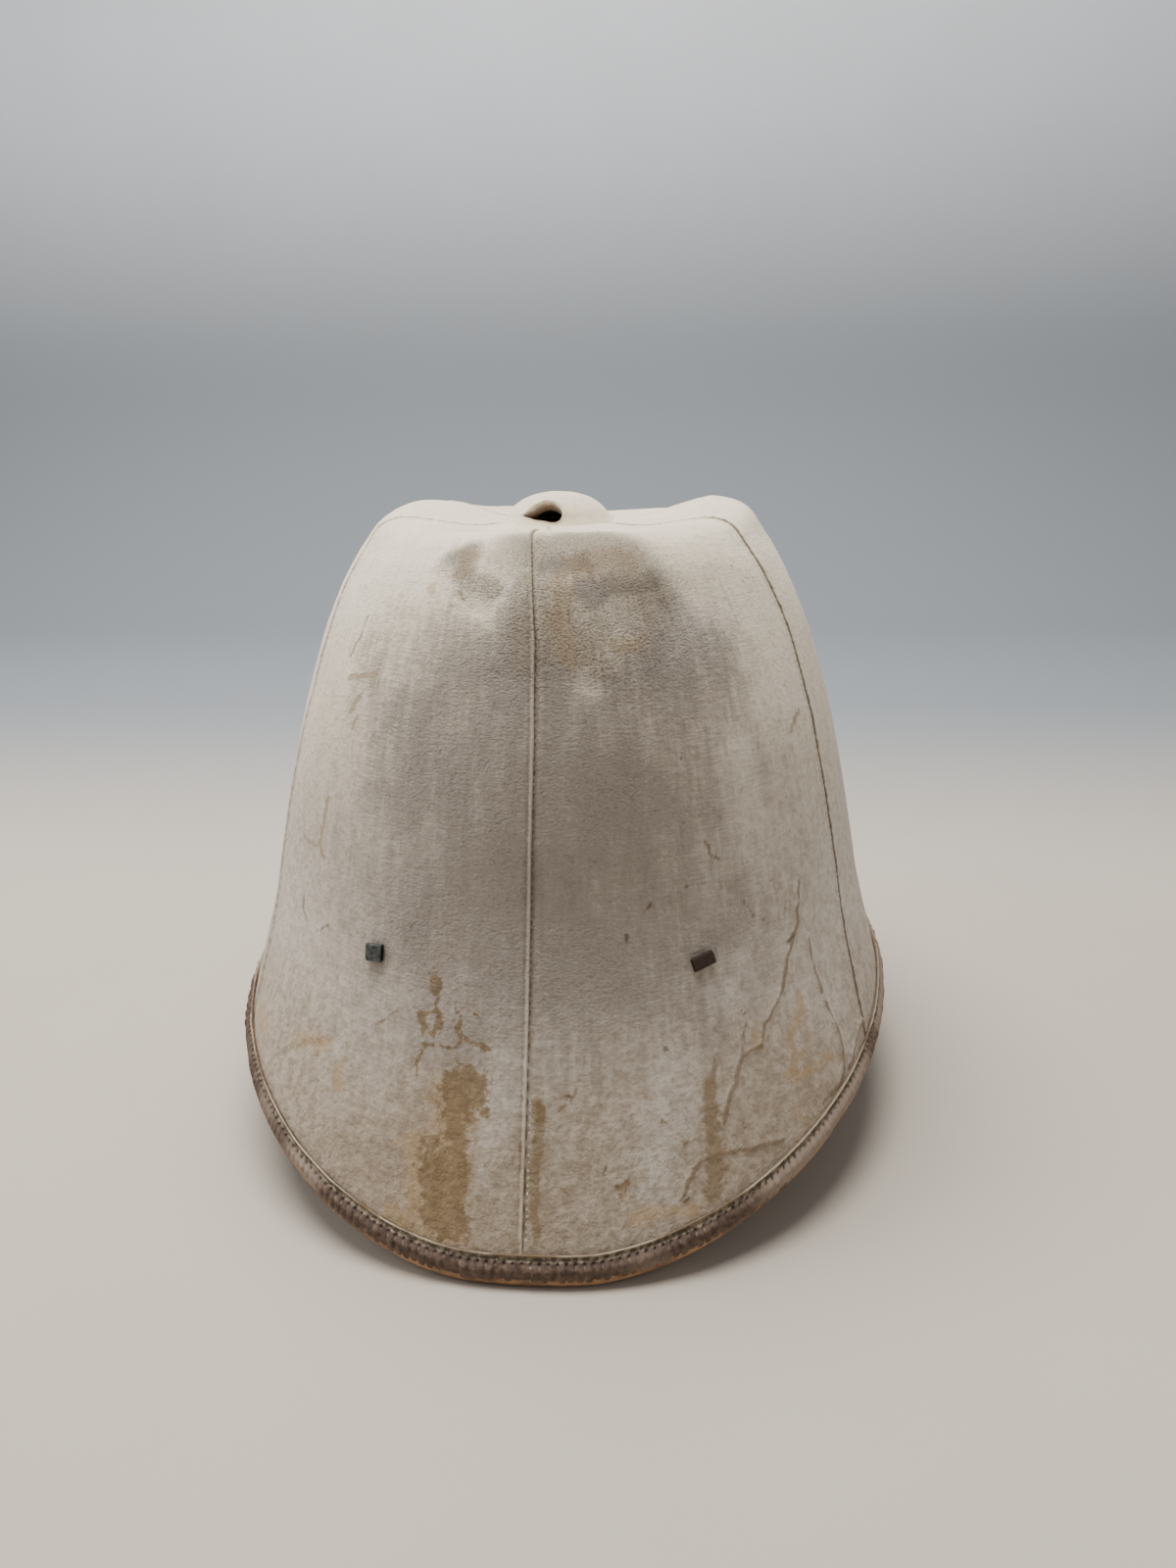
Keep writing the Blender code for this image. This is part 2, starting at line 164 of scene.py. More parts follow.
def mixed(tree, share, first, second):
    """The first colour going over to the second as the share rises from 0 to 1."""
    made = tree.nodes.new("ShaderNodeMix")
    made.data_type = "RGBA"
    fill(tree, made.inputs[0], share)
    fill(tree, made.inputs[6], first)
    fill(tree, made.inputs[7], second)
    return made.outputs[2]


def dyed(tree, tone, mask, strength, colour):
    """The tone with a colour laid over it where the mask is, as strongly as it says."""
    return mixed(tree, sums(tree, "MULTIPLY", mask, strength), tone, colour)


def cloud(tree, where, scale, detail=3.0, roughness=0.55, bend=0.0):
    """Cloudy noise between 0 and 1, with about scale lumps to the metre."""
    made = tree.nodes.new("ShaderNodeTexNoise")
    made.noise_dimensions = "3D"
    fill(tree, made.inputs["Vector"], where)
    fill(tree, made.inputs["Scale"], scale)
    fill(tree, made.inputs["Detail"], detail)
    fill(tree, made.inputs["Roughness"], roughness)
    fill(tree, made.inputs["Distortion"], bend)
    return made.outputs[0]


def stretched(tree, where, along, around, depth=1.0):
    """Coordinates multiplied by three numbers, so that a pattern grows longer one way."""
    made = tree.nodes.new("ShaderNodeVectorMath")
    made.operation = "MULTIPLY"
    fill(tree, made.inputs[0], where)
    fill(tree, made.inputs[1], (along, around, depth))
    return made.outputs[0]


def raised(tree, height, depth, under=None):
    """Turns a height between 0 and 1 into relief of that depth in metres, on top of other relief."""
    made = tree.nodes.new("ShaderNodeBump")
    made.inputs["Strength"].default_value = 1.0
    made.inputs["Distance"].default_value = depth
    fill(tree, made.inputs["Height"], height)
    if under is not None:
        fill(tree, made.inputs["Normal"], under)
    return made.outputs[0]


def painted_mask(tree, name):
    made = tree.nodes.new("ShaderNodeAttribute")
    made.attribute_name = name
    return made.outputs["Fac"]


def place_on_object(tree):
    return tree.nodes.new("ShaderNodeTexCoord").outputs["Object"]


def cloth_place(tree):
    made = tree.nodes.new("ShaderNodeUVMap")
    made.uv_map = "cloth"
    return made.outputs[0]


def new_finish(name, roughness, metallic=0.0):
    material = bpy.data.materials.new(name)
    material.use_nodes = True
    shader = material.node_tree.nodes["Principled BSDF"]
    shader.inputs["Roughness"].default_value = roughness
    shader.inputs["Metallic"].default_value = metallic
    return material, material.node_tree, shader


print("node helpers ready")

# %% [markdown]
# ## Floor, backdrop and light
# The helmet stands on pale paper that runs back and is coloured darker blue grey behind it. One long sheet
# does both:
# a floor that curves up far behind, coloured by where it lies, and painted lighter higher up the backdrop
# as painted light. The light is soft and comes mostly from above, so the crown is bright and the upright
# wall is grey.

# %% Pale floor and backdrop
FLOOR_SPAN = 3.0
SWEEP_START = 0.95
SWEEP_RADIUS = 0.35
SWEEP_STEPS = 12
BACKDROP_HEIGHT = 2.2


def sweep_line():
    """The floor's side view as (y, z) points, with the curve up to the backdrop."""
    line = [(-FLOOR_SPAN, 0.0), (SWEEP_START, 0.0)]
    for step in range(1, SWEEP_STEPS + 1):
        turn = math.pi / 2 * step / SWEEP_STEPS
        line.append((SWEEP_START + SWEEP_RADIUS * math.sin(turn), SWEEP_RADIUS * (1 - math.cos(turn))))
    return line + [(SWEEP_START + SWEEP_RADIUS, BACKDROP_HEIGHT)]


def paper_finish():
    material, tree, shader = new_finish("backdrop_paper", 0.9)
    made = tree.nodes.new("ShaderNodeSeparateXYZ")
    fill(tree, made.inputs[0], place_on_object(tree))
    # Further back the paper is coloured darker blue grey; higher up it is painted lighter, as painted light
    # where the lamps fall off
    far = soft_step(tree, made.outputs["Y"], 0.1, 0.6)
    high = soft_step(tree, made.outputs["Z"], 0.25, 0.8)
    pale = mixed(tree, far, paint(196, 186, 172), paint(142, 147, 152))
    tone = mixed(tree, high, pale, paint(218, 221, 226))
    grain = soft_step(tree, cloud(tree, place_on_object(tree), 9.0), 0.3, 0.7, 0.0, 0.05)
    fill(tree, shader.inputs["Base Color"], mixed(tree, grain, tone, paint(150, 146, 142)))
    return material


paper = bpy.data.meshes.new("floor")
sheet_points = [(side, y, z) for y, z in sweep_line() for side in (-FLOOR_SPAN, FLOOR_SPAN)]
sheet_faces = [(i, i + 1, i + 3, i + 2) for i in range(0, len(sheet_points) - 2, 2)]
paper.from_pydata(sheet_points, [], sheet_faces)
floor = bpy.data.objects.new("floor", paper)
bpy.context.scene.collection.objects.link(floor)
paper.materials.append(paper_finish())
paper.shade_smooth()
print("floor faces:", len(paper.polygons))

# %% Soft lights
# Name, place, width in metres, watts and colour
LIGHTS = (
    ("overhead", (-0.2, 0.2, 1.5), 1.2, 42.0, (1.0, 0.98, 0.95)),
    ("left_window", (-1.7, -0.2, 1.0), 1.2, 14.0, (0.98, 0.985, 1.0)),
    ("right_fill", (1.8, -0.3, 0.9), 1.3, 5.0, (1.0, 0.99, 0.97)),
)
for name, spot, size, watts, colour in LIGHTS:
    lamp = bpy.data.lights.new(name, "AREA")
    lamp.shape = "DISK"
    lamp.size = size
    lamp.energy = watts
    lamp.color = colour
    holder = bpy.data.objects.new(name, lamp)
    holder.location = spot
    aim = Vector((0, 0, 0.1)) - Vector(spot)
    holder.rotation_euler = aim.to_track_quat("-Z", "Y").to_euler()
    bpy.context.scene.collection.objects.link(holder)
ROOM_GLOW = 0.32
world = bpy.data.worlds.new("soft_room")
world.use_nodes = True
world.node_tree.nodes["Background"].inputs["Color"].default_value = paint(200, 205, 212)
world.node_tree.nodes["Background"].inputs["Strength"].default_value = ROOM_GLOW
bpy.context.scene.world = world
print("lights:", len(LIGHTS))

# %% [markdown]
# ## The shape of the wall
# Every soft piece follows one surface: the outer face of the cloth. It is drawn by meridians, curves
# that run from the vent down to the rim, each passing smoothly through a short list of ovals. These are
# the same named sizes as in the solids, because this file can't read that one. With whole arrays of
# points at a time it is quick to draw the wall as finely as stitches and creases need.

# %% Sizes of the wall
BRIM_WIDTH = 0.2560
PEAK_REACH = 0.1676
SIDE_LIFT = 0.0368
BAND_HEIGHT = 0.099
BAND_WIDTH = 0.2275
BAND_REAR = 0.124
BAND_FRONT = 0.130
CROWN_HEIGHT = 0.119
CROWN_LEAN = 0.0015
CLOTH_WALL = 0.001
PITH_WALL = 0.0042
LAYER_GAP = 0.0003
RIM_INSET = 0.0026
VENT_RADIUS = 0.0095
BOSS_RADIUS = 0.0205
BOSS_SIDEWAYS = 0.0018
TOP_SHARE = 0.982
FLARE_DROP_SHARE = 0.37
FLARE_REACH_SHARE = 0.298
RIM_LEVEL_SHARE = 0.12
RIM_SWEEP_POWER = 1.46
CROWN_OVAL_POWER = 2.1
RIM_OVAL_POWER = 2.19
REAR_SEAM_DEG = 64
FRONT_SEAM_DEG = 122

# Ovals of the crown, top to bottom: rise, width, rear and front as shares of the sizes above, and how much
# of the crest's wave each follows
CROWN_OVALS = (
    (0.975, 0.316, 0.323, 0.315, 0.45),
    (1.000, 0.572, 0.532, 0.538, 1.00),
    (0.924, 0.673, 0.669, 0.677, 0.45),
    (0.739, 0.788, 0.790, 0.800, 0.00),
    (0.504, 0.876, 0.887, 0.892, 0.00),
    (0.252, 0.944, 0.952, 0.962, 0.00),
    (0.000, 1.000, 1.000, 1.000, 0.00),
)
# The seams wander round as they climb: degrees of turn at each place from the boss's edge to the rim
SEAM_TURNS = (-4.6, -4.6, -4.2, -2.4, -0.7, -0.3, -0.4, -0.5, -0.6, -0.6)
# The crest's wave round the crown: degrees from the rear, and lift as a share of the crown's height
CREST_WAVE = (
    (-180, -0.040),
    (-150, -0.012),
    (-108, 0.036),
    (-80, 0.016),
    (-40, -0.009),
    (0, 0.000),
    (40, -0.009),
    (85, 0.030),
    (112, 0.036),
    (140, -0.020),
    (180, -0.040),
)
# Dents: degrees from the rear, spread, rise, tall and depth
DENTS = ((27, 15, 0.81, 0.09, 0.022), (-58, 16, 0.60, 0.22, 0.012), (140, 18, 0.86, 0.12, 0.020))
LAST_PLACE = len(CROWN_OVALS) + 3
print("places down a meridian:", LAST_PLACE + 1)


# %% Draw the wall
def oval(angle, half_width, rear, front, height, power):
    """Points of a plan oval for an array of angles; 0 is the rear and a quarter turn is the right side."""
    sine, cosine = np.sin(angle), np.cos(angle)
    across = np.sign(sine) * np.abs(sine) ** (2 / power)
    along = np.sign(cosine) * np.abs(cosine) ** (2 / power)
    reach = np.where(along > 0, rear, front)
    return np.stack([half_width * across, -reach * along, np.broadcast_to(height, angle.shape)], -1)


def crest_wave(angle):
    """How far the crest of the crown rises or sinks at each angle."""
    degrees = (np.degrees(angle) + 180) % 360 - 180
    lift = np.full(angle.shape, float(CREST_WAVE[-1][1]))
    for (low, low_lift), (high, high_lift) in zip(CREST_WAVE, CREST_WAVE[1:]):
        inside = (degrees >= low) & (degrees <= high)
        share = np.clip((degrees - low) / (high - low), 0, 1)
        share = share * share * (3 - 2 * share)
        lift = np.where(inside, low_lift + (high_lift - low_lift) * share, lift)
    return CROWN_HEIGHT * lift


def rim_height(angle):
    """The rim is lowest at both peaks and sweeps up at the sides."""
    past = np.maximum(np.abs(np.sin(angle)) - RIM_LEVEL_SHARE, 0) / (1 - RIM_LEVEL_SHARE)
    return SIDE_LIFT * past**RIM_SWEEP_POWER


def meridian_controls(angle):
    """The points each meridian passes through, with one spare point beyond either end."""
    vent = np.array([-BOSS_SIDEWAYS, 0, 0])
    top = BAND_HEIGHT + TOP_SHARE * CROWN_HEIGHT
    rings = [vent + oval(angle, r, r, r, top, 2) for r in (VENT_RADIUS, BOSS_RADIUS + LAYER_GAP)]
    for rise, width, rear, front, wave in CROWN_OVALS:
        height = BAND_HEIGHT + rise * CROWN_HEIGHT + wave * crest_wave(angle)
        lean = np.array([CROWN_LEAN * rise, 0, 0])
        sizes = (width * BAND_WIDTH / 2, rear * BAND_REAR, front * BAND_FRONT)
        rings.append(lean + oval(angle, *sizes, height, CROWN_OVAL_POWER))
    rim = oval(angle, BRIM_WIDTH / 2, PEAK_REACH, PEAK_REACH, rim_height(angle), RIM_OVAL_POWER)
    band = rings[-1]
    flare = band + (rim - band) * FLARE_REACH_SHARE
    flare[:, 2] = band[:, 2] + (rim[:, 2] - band[:, 2]) * FLARE_DROP_SHARE
    rings += [flare, rim]
    return np.array([2 * rings[0] - rings[1], *rings, 2 * rings[-1] - rings[-2]])


def pass_through(before, start, end, after, t):
    """A smooth curve from start to end that would go on to its neighbours, at t from 0 to 1."""
    bend = (end - before) * t + (2 * before - 5 * start + 4 * end - after) * t**2
    bend += (3 * start - before - 3 * end + after) * t**3
    return start + bend / 2


def wall_face(angle, place):
    """The outer face of the cloth at arrays of angles and places, with place 0 at the vent."""
    angle, place = (np.ravel(part).astype(float) for part in np.broadcast_arrays(angle, place))
    rings = meridian_controls(angle)
    span = np.clip(np.floor(place).astype(int), 0, len(rings) - 4)
    t = (place - span)[:, None]
    column = np.arange(len(angle))
    point = pass_through(*(rings[span + step, column] for step in range(4)), t)
    reach = np.hypot(point[:, 0], point[:, 1])
    dent = np.zeros(len(angle))
    for centre, spread, rise, tall, depth in DENTS:
        turn = (np.degrees(angle) - centre + 180) % 360 - 180
        drop = (point[:, 2] - BAND_HEIGHT) / CROWN_HEIGHT - rise
        dent += depth * BAND_WIDTH / 2 * np.exp(-((turn / spread) ** 2) - (drop / tall) ** 2)
    dent *= np.clip(reach / BOSS_RADIUS - 1.2, 0, 1)
    point[:, :2] *= (1 - dent / np.maximum(reach, 1e-6))[:, None]
    return point + SET_DOWN


def wall_directions(angle, place):
    """Unit vectors out of the wall and down it, at arrays of angles and places."""
    angle, place = (np.ravel(part).astype(float) for part in np.broadcast_arrays(angle, place))
    step = 1e-3
    around = wall_face(angle + step, place) - wall_face(angle - step, place)
    down = wall_face(angle, place + step) - wall_face(angle, place - step)
    out = np.cross(down, around)
    unit = [part / np.linalg.norm(part, axis=1, keepdims=True) for part in (out, down)]
    return unit[0], unit[1]


# The solids were set down on the rim, so the boss shows how far the drawing moves
boss_low, boss_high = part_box("vent_boss")
drawn_foot = BAND_HEIGHT + TOP_SHARE * CROWN_HEIGHT - CLOTH_WALL
SET_DOWN = np.array([0, (boss_low.y + boss_high.y) / 2, boss_low.z - drawn_foot])
crest = wall_face(np.radians([0, 90, 180, 270]), 3)[:, 2]
print("moved by", np.round(SET_DOWN * 1000, 2), "mm; crest heights", np.round(crest * 1000, 1), "mm")

# %% [markdown]
# ## Marks on the wall
# Wear is described by where it lies: a bearing in degrees round the helmet and a height in millimetres
# above the floor. A fine net of wall points turns such a pair into a real point, and a stroke is then a
# soft line through a few of them. Strokes serve for stains, for flaked whitening and for creases alike.

# %% Find places on the wall
NET_ANGLES = np.radians(np.arange(-180, 180, 0.5))
NET_PLACES = np.linspace(1, LAST_PLACE, 260)
net_angle, net_place = (part.ravel() for part in np.meshgrid(NET_ANGLES, NET_PLACES))
net_point = wall_face(net_angle, net_place)
net_bearing = np.degrees(np.arctan2(net_point[:, 0], -net_point[:, 1]))


def on_wall(bearing, height):
    """The point of the wall at that bearing in degrees and height in millimetres."""
    turn = (net_bearing - bearing + 180) % 360 - 180
    reach = np.hypot(net_point[:, 0], net_point[:, 1])
    miss = np.hypot(np.radians(turn) * reach, net_point[:, 2] - height * MM)
    return net_point[np.argmin(miss)]


def scatter(cell, seed):
    """A fixed random number between -1 and 1 for each cell of a lattice; the factors only stir bits."""
    value = cell[..., 0] * 374761393 + cell[..., 1] * 668265263
    value = value + cell[..., 2] * 1440662683 + seed * 974634777
    value = (value ^ (value >> 13)) * 1274126177
    value = value ^ (value >> 16)
    return (value & 0xFFFF) / 32767.5 - 1


def lumps(points, size, seed=0):
    """Smooth random lumps of that size in metres, between -1 and 1."""
    scaled = points / size + 1000
    cell = np.floor(scaled).astype(np.int64)
    part = scaled - cell
    part = part * part * (3 - 2 * part)
    total = np.zeros(len(points))
    for corner in itertools.product((0, 1), repeat=3):
        weight = np.prod(np.where(np.array(corner) == 1, part, 1 - part), axis=1)
        total += weight * scatter(cell + np.array(corner), seed)
    return total


def ragged(points, size, amount):
    """The points pushed about a little, so that a mark drawn on them gets an uneven edge."""
    shift = [lumps(points, size, seed) for seed in (11, 12, 13)]
    return points + amount * np.stack(shift, -1)


def stroke(points, marks, width):
    """How near each point lies to the line through the marks: 1 on it, and fading out over the width."""
    spots = np.array([on_wall(bearing, height) for bearing, height in marks])
    if len(spots) == 1:
        spots = np.repeat(spots, 2, axis=0)
    nearest = np.full(len(points), np.inf)
    for start, end in zip(spots, spots[1:]):
        run = end - start
        share = np.clip((points - start) @ run / max(run @ run, 1e-12), 0, 1)[:, None]
        nearest = np.minimum(nearest, np.linalg.norm(points - start - share * run, axis=1))
    return np.exp(-((nearest / width) ** 2))


print("net points:", len(net_point))

# %% [markdown]
# ## Wear of the cotton, with painted light and shade
# The cover was whitened with pipe clay, which still lies thick and creamy on the top and paler grey
# towards the rim; the top is also painted lighter by height, as painted light where the light falls on it.
# The band between has rubbed grimy. Flakes have come off in crisp chips, water has left wandering tide
# lines, and one big brown stain runs down beside the rear seam. On the crown, grey smudges are partly
# rubbed grime and partly painted shade in the hollows of its dents. Each list below names one kind of
# mark, with the half width of each stroke in millimetres and the places that it runs through.

# %% Folds that are both creased and stained
UPPER_FOLD = ((32, 58.3), (28.3, 55.9), (27, 51.3), (25, 44.4), (24.2, 40.6))
LONG_FOLD = ((46.4, 82.3), (46.2, 73.5), (46.1, 64.3), (47, 56.2), (47.8, 48.2), (47.3, 40.4), (45.2, 35.6))
SHORT_FOLD = ((55.7, 46), (51.9, 43), (49.2, 38.5), (47.8, 36.9))
PEAK_FOLD = ((17.7, 20.7), (18.6, 26.6), (20.2, 30.5), (22.1, 31.3), (27.2, 31.9), (32.2, 29.9))
print("shared folds:", len((UPPER_FOLD, LONG_FOLD, SHORT_FOLD, PEAK_FOLD)))

# %% Lists of marks
# The big brown stain, beginning with the loop at its top
STAIN = (
    (1.5, ((-14.9, 84.7), (-13.9, 82.2), (-14.8, 80.6))),
    (0.9, ((-13.6, 79.7), (-13.6, 75))),
    (1.4, ((-15.9, 73.4), (-13.5, 74.2), (-13.2, 71.6), (-13.8, 67.6))),
    (1.4, ((-13.8, 67.6), (-15.1, 68.1), (-15.9, 70.7), (-15.9, 73.4))),
    (1.7, ((-15.5, 63.9), (-14.2, 65.2))),
    (1.1, ((-15.5, 63.9), (-15.6, 59), (-15.4, 55.1))),
    (1.1, ((-10.7, 76.7), (-10.1, 72.4), (-9.9, 68.7), (-10.6, 64.5), (-13, 64.3))),
    (1.0, ((-10, 70.2), (-8.8, 68.1), (-7, 66.2), (-5.6, 63.3))),
    (0.9, ((-9, 75), (-7.9, 74.7))),
    (5.4, ((-10.1, 54.6), (-8.7, 56.9))),
    (5.0, ((-10.1, 54.6), (-9.8, 48.6), (-9.1, 41.2), (-8.7, 32.9), (-8.9, 24.4), (-8.9, 16.9))),
    (3.2, ((-7.5, 56.9), (-6.5, 55.2), (-6.4, 52.1), (-6.4, 47.6))),
    (4.0, ((-12.4, 36.6), (-12, 30.1), (-11.7, 21.9), (-10.9, 16.3))),
    (4.2, ((-11.7, 19.1), (-9.6, 15.8), (-7.6, 15.6))),
    (7.0, ((-9.4, 54), (-7.8, 53), (-9.6, 48))),
    (7.5, ((-11.2, 33), (-10.6, 24), (-10.4, 17))),
    (1.9, ((1, 51.2), (1.2, 46.2))),
    (2.0, ((10.5, 24), (10.7, 27.1))),
    (1.1, ((9.1, 32.4), (9.3, 30.4))),
    (0.9, ((4, 27.4), (4.6, 27.1))),
    (1.1, ((16.4, 45.9), (16.5, 44.4))),
    (1.2, ((5.1, 52.9),)),
)
# Thin brown runs down the cloth
STREAKS = (
    (2.0, ((0.7, 51), (0.9, 44.5), (0.9, 39.5), (0.8, 31.2), (0.7, 22.9), (0.9, 14.9))),
    (0.8, ((-0.9, 39.3), (-0.8, 31), (-0.4, 22.9))),
    (0.6, ((5.7, 54.7), (4.7, 51.7), (3.4, 49.5))),
    (1.6, ((24.5, 57), (23.5, 53.1))),
    (3.0, ((23.1, 50.7), (22.6, 42.3), (22.3, 33.8))),
    (4.2, ((22.4, 33), (22.2, 27), (21.4, 20.7))),
    (0.8, ((19.1, 37.7), (18.7, 36.2))),
    (0.6, ((27.3, 38.8), (26.4, 36.6), (27.5, 37))),
    (0.6, ((-36.4, 90.5), (-39.3, 86.6))),
    (0.7, ((-20, 71.6), (-22.7, 67.2))),
)
# Dark edges that drying water left
TIDE_LINES = (
    (0.7, ((46.6, 101.7), (44.2, 89.8), (40.3, 80.6), (38, 72.6), (37.3, 70.8), (33.6, 63.9), (32, 58.3))),
    (0.7, UPPER_FOLD),
    (0.6, ((30.3, 65.8), (28.3, 55.9))),
    (0.7, LONG_FOLD),
    (0.7, ((45.2, 35.6), (42, 34.1), (40.4, 33.5))),
    (0.7, SHORT_FOLD),
    (0.6, PEAK_FOLD),
    (0.5, ((-40.5, 192.8), (-41.3, 184.1), (-43, 178.9))),
    (0.5, ((-45.6, 98.2), (-45.5, 91.2), (-42.8, 87.9))),
    (0.5, ((27.1, 126), (27.9, 120.4), (29.6, 118.5))),
    (0.5, ((33.8, 102.4), (35, 97.9), (37.2, 94.8))),
)
# Soft yellowing round the stains and under the boss
OCHRE = (
    (5.0, ((-14.2, 37), (-13.9, 28), (-13.3, 19))),
    (11.0, ((-9.8, 52), (-10.2, 38), (-10.6, 24), (-10.6, 16))),
    (5.5, ((4.8, 206.1), (5, 194.1), (5.8, 187.1), (6.2, 184.2))),
    (7.5, ((8, 210), (14.2, 212.1), (20, 211.5))),
    (5.0, ((-17.5, 214.5), (-17, 209))),
    (3.6, ((-24.1, 202.9),)),
    (4.5, ((-15.9, 15.9), (-12.1, 12.5), (-8, 11.8))),
    (3.0, ((-16.4, 37), (-15.9, 35.5), (-14.8, 32.4))),
    (2.8, ((41.2, 67.2), (39.3, 60.8), (37.2, 56.5), (36.8, 50.1), (36.6, 44.8))),
    (1.5, ((41.8, 62.7), (40.9, 54.5), (37.9, 49.2))),
    (2.5, ((35.3, 47.7), (39.9, 45.7), (44.9, 44))),
    (1.6, ((34.2, 29), (36.2, 30.9), (35.2, 35.5))),
    (2.8, ((31.3, 63.3), (31.3, 58.7))),
    (3.4, ((11.9, 17.5), (15.4, 19.1), (18.4, 20.4))),
    (5.0, ((-54.4, 47.4), (-48.9, 45))),
    (4.0, ((-38.6, 51.5), (-32, 56.2))),
    (3.0, ((-27.3, 52.5), (-27.2, 45.2))),
    (3.0, ((15.4, 186.4), (20.2, 187.3))),
)
# Crisp patches where the whitening has flaked off
CHIPS = (
    (1.1, ((-41.6, 172.6), (-36.3, 174), (-32.3, 175.5))),
    (0.8, ((-31.5, 174.5), (-31, 172.1))),
    (1.3, ((-36.3, 167.2), (-37.4, 162))),
    (0.9, ((-35.4, 161.4), (-36.3, 157))),
    (1.3, ((-40.9, 132), (-41.4, 120.2), (-42.1, 115.1), (-40, 112.4))),
    (0.8, ((-49.1, 114.4), (-42.8, 114.1))),
    (0.7, ((-16.9, 202), (-15.4, 200.3))),
    (1.0, ((55.6, 156.8), (50.6, 152.1))),
)
# Small dark pinholes
SPECKS = (
    (0.7, ((24.5, 152.3),)),
    (0.6, ((17.5, 107), (17.1, 106))),
    (0.6, ((16.7, 105), (16.5, 104.7))),
    (0.8, ((13.8, 98.5), (13.9, 97.6))),
    (0.6, ((23.4, 111.5),)),
    (0.8, ((70, 87.5), (70, 86))),
    (0.8, ((42.6, 85.9), (41.2, 85.2))),
    (0.7, ((17.8, 63.3), (18.1, 62))),
    (0.5, ((9, 33.5), (8.6, 31.9))),
    (0.5, ((18.4, 22.6), (18.2, 21.5))),
    (0.5, ((-19, 100), (-19.2, 99))),
    (0.5, ((30, 70), (30.4, 69.4))),
)
# Grey patches, mostly on the crown: partly rubbed grime, partly painted shade in the hollows of the dents
SMUDGES_AND_DENT_SHADE = (
    (5.0, ((9, 205), (14, 203.4), (19, 203.2), (24, 204.5))),
    (3.5, ((11, 203.4), (17, 202.6))),
    (5.0, ((2, 211), (9, 212))),
    (3.5, ((4, 196), (5, 188))),
    (1.8, ((10.4, 94.8), (10.8, 92.9))),
)
# Soft patches where the whitening still lies thick within the grime
BRIGHT = (
    (5.0, ((17.1, 189.8), (14, 184))),
    (6.0, ((29.8, 209.5), (36, 200))),
    (4.0, ((-7, 200), (-9, 196))),
    (6.0, ((13, 198), (18, 195))),
    (5.0, ((9.5, 175.4),)),
    (9.0, ((34, 150), (38, 120))),
    (7.0, ((30, 84), (27, 76))),
    (6.0, ((-4, 60), (-5, 30))),
    (9.0, ((-26, 213), (-34, 206))),
    (9.0, ((18, 55), (16, 42), (15, 28))),
)
# Where the nap stands up, as broad strokes
NAP = (
    (14, ((-1.4, 215.2), (14, 214.7), (20, 202))),
    (15, ((2.6, 197), (13, 192))),
    (5, ((-3.2, 212), (-1.2, 204.1), (0, 185))),
    (7, ((-20, 212), (-10.1, 204))),
)
# Creases in the cloth: half width and height in millimetres, below the cloth where negative, and the line
CREASES = (
    (1.3, 0.6, ((46.6, 101.7), (44.2, 89.8), (40.3, 80.6), (38, 72.6), (33.6, 63.9), (32, 58.3))),
    (1.2, 0.65, UPPER_FOLD),
    (1.3, 0.75, LONG_FOLD),
    (1.2, 0.6, SHORT_FOLD),
    (1.4, 0.45, PEAK_FOLD),
    (0.9, -0.35, ((52, 166), (53, 158), (53, 151))),
    (1.6, -0.5, ((-43, 41), (-38, 49), (-30, 58))),
    (0.9, -0.3, ((-17.4, 201), (-10.7, 196))),
    (1.0, 0.25, ((-12, 66), (-12, 40), (-11, 20))),
    (0.8, -0.25, ((-48, 107), (-49, 94.5))),
)


def rubbed(points, marks, edge=0.0035, amount=0.0016):
    """One mask for a list of marks, with uneven edges."""
    moved = ragged(points, edge, amount)
    total = np.zeros(len(points))
    for half_width, line in marks:
        total = np.maximum(total, stroke(moved, line, half_width * MM))
    return total


KINDS = (STAIN, STREAKS, TIDE_LINES, OCHRE, CHIPS, SPECKS, SMUDGES_AND_DENT_SHADE, BRIGHT, NAP, CREASES)
print("marks:", sum(len(kind) for kind in KINDS))

# %% [markdown]
# ## Cotton finish
# Whitened cotton is matt and a little furry, so it gets no gloss and a faint sheen. The painted masks
# only say roughly where each mark lies. Fine noise added before each threshold gives the crisp, uneven
# edges that flaked pipe clay has. The nap stands up as small pebbles where fingers and damp have raised
# it, with painted shade in the pits between them.

# %% Cotton finish
def edged(tree, mask, noise, wobble, low, high):
    """A painted mask with its edge broken up by noise and then sharpened."""
    off = sums(tree, "MULTIPLY", sums(tree, "SUBTRACT", noise, 0.5), wobble)
    return soft_step(tree, sums(tree, "ADD", mask, off), low, high)


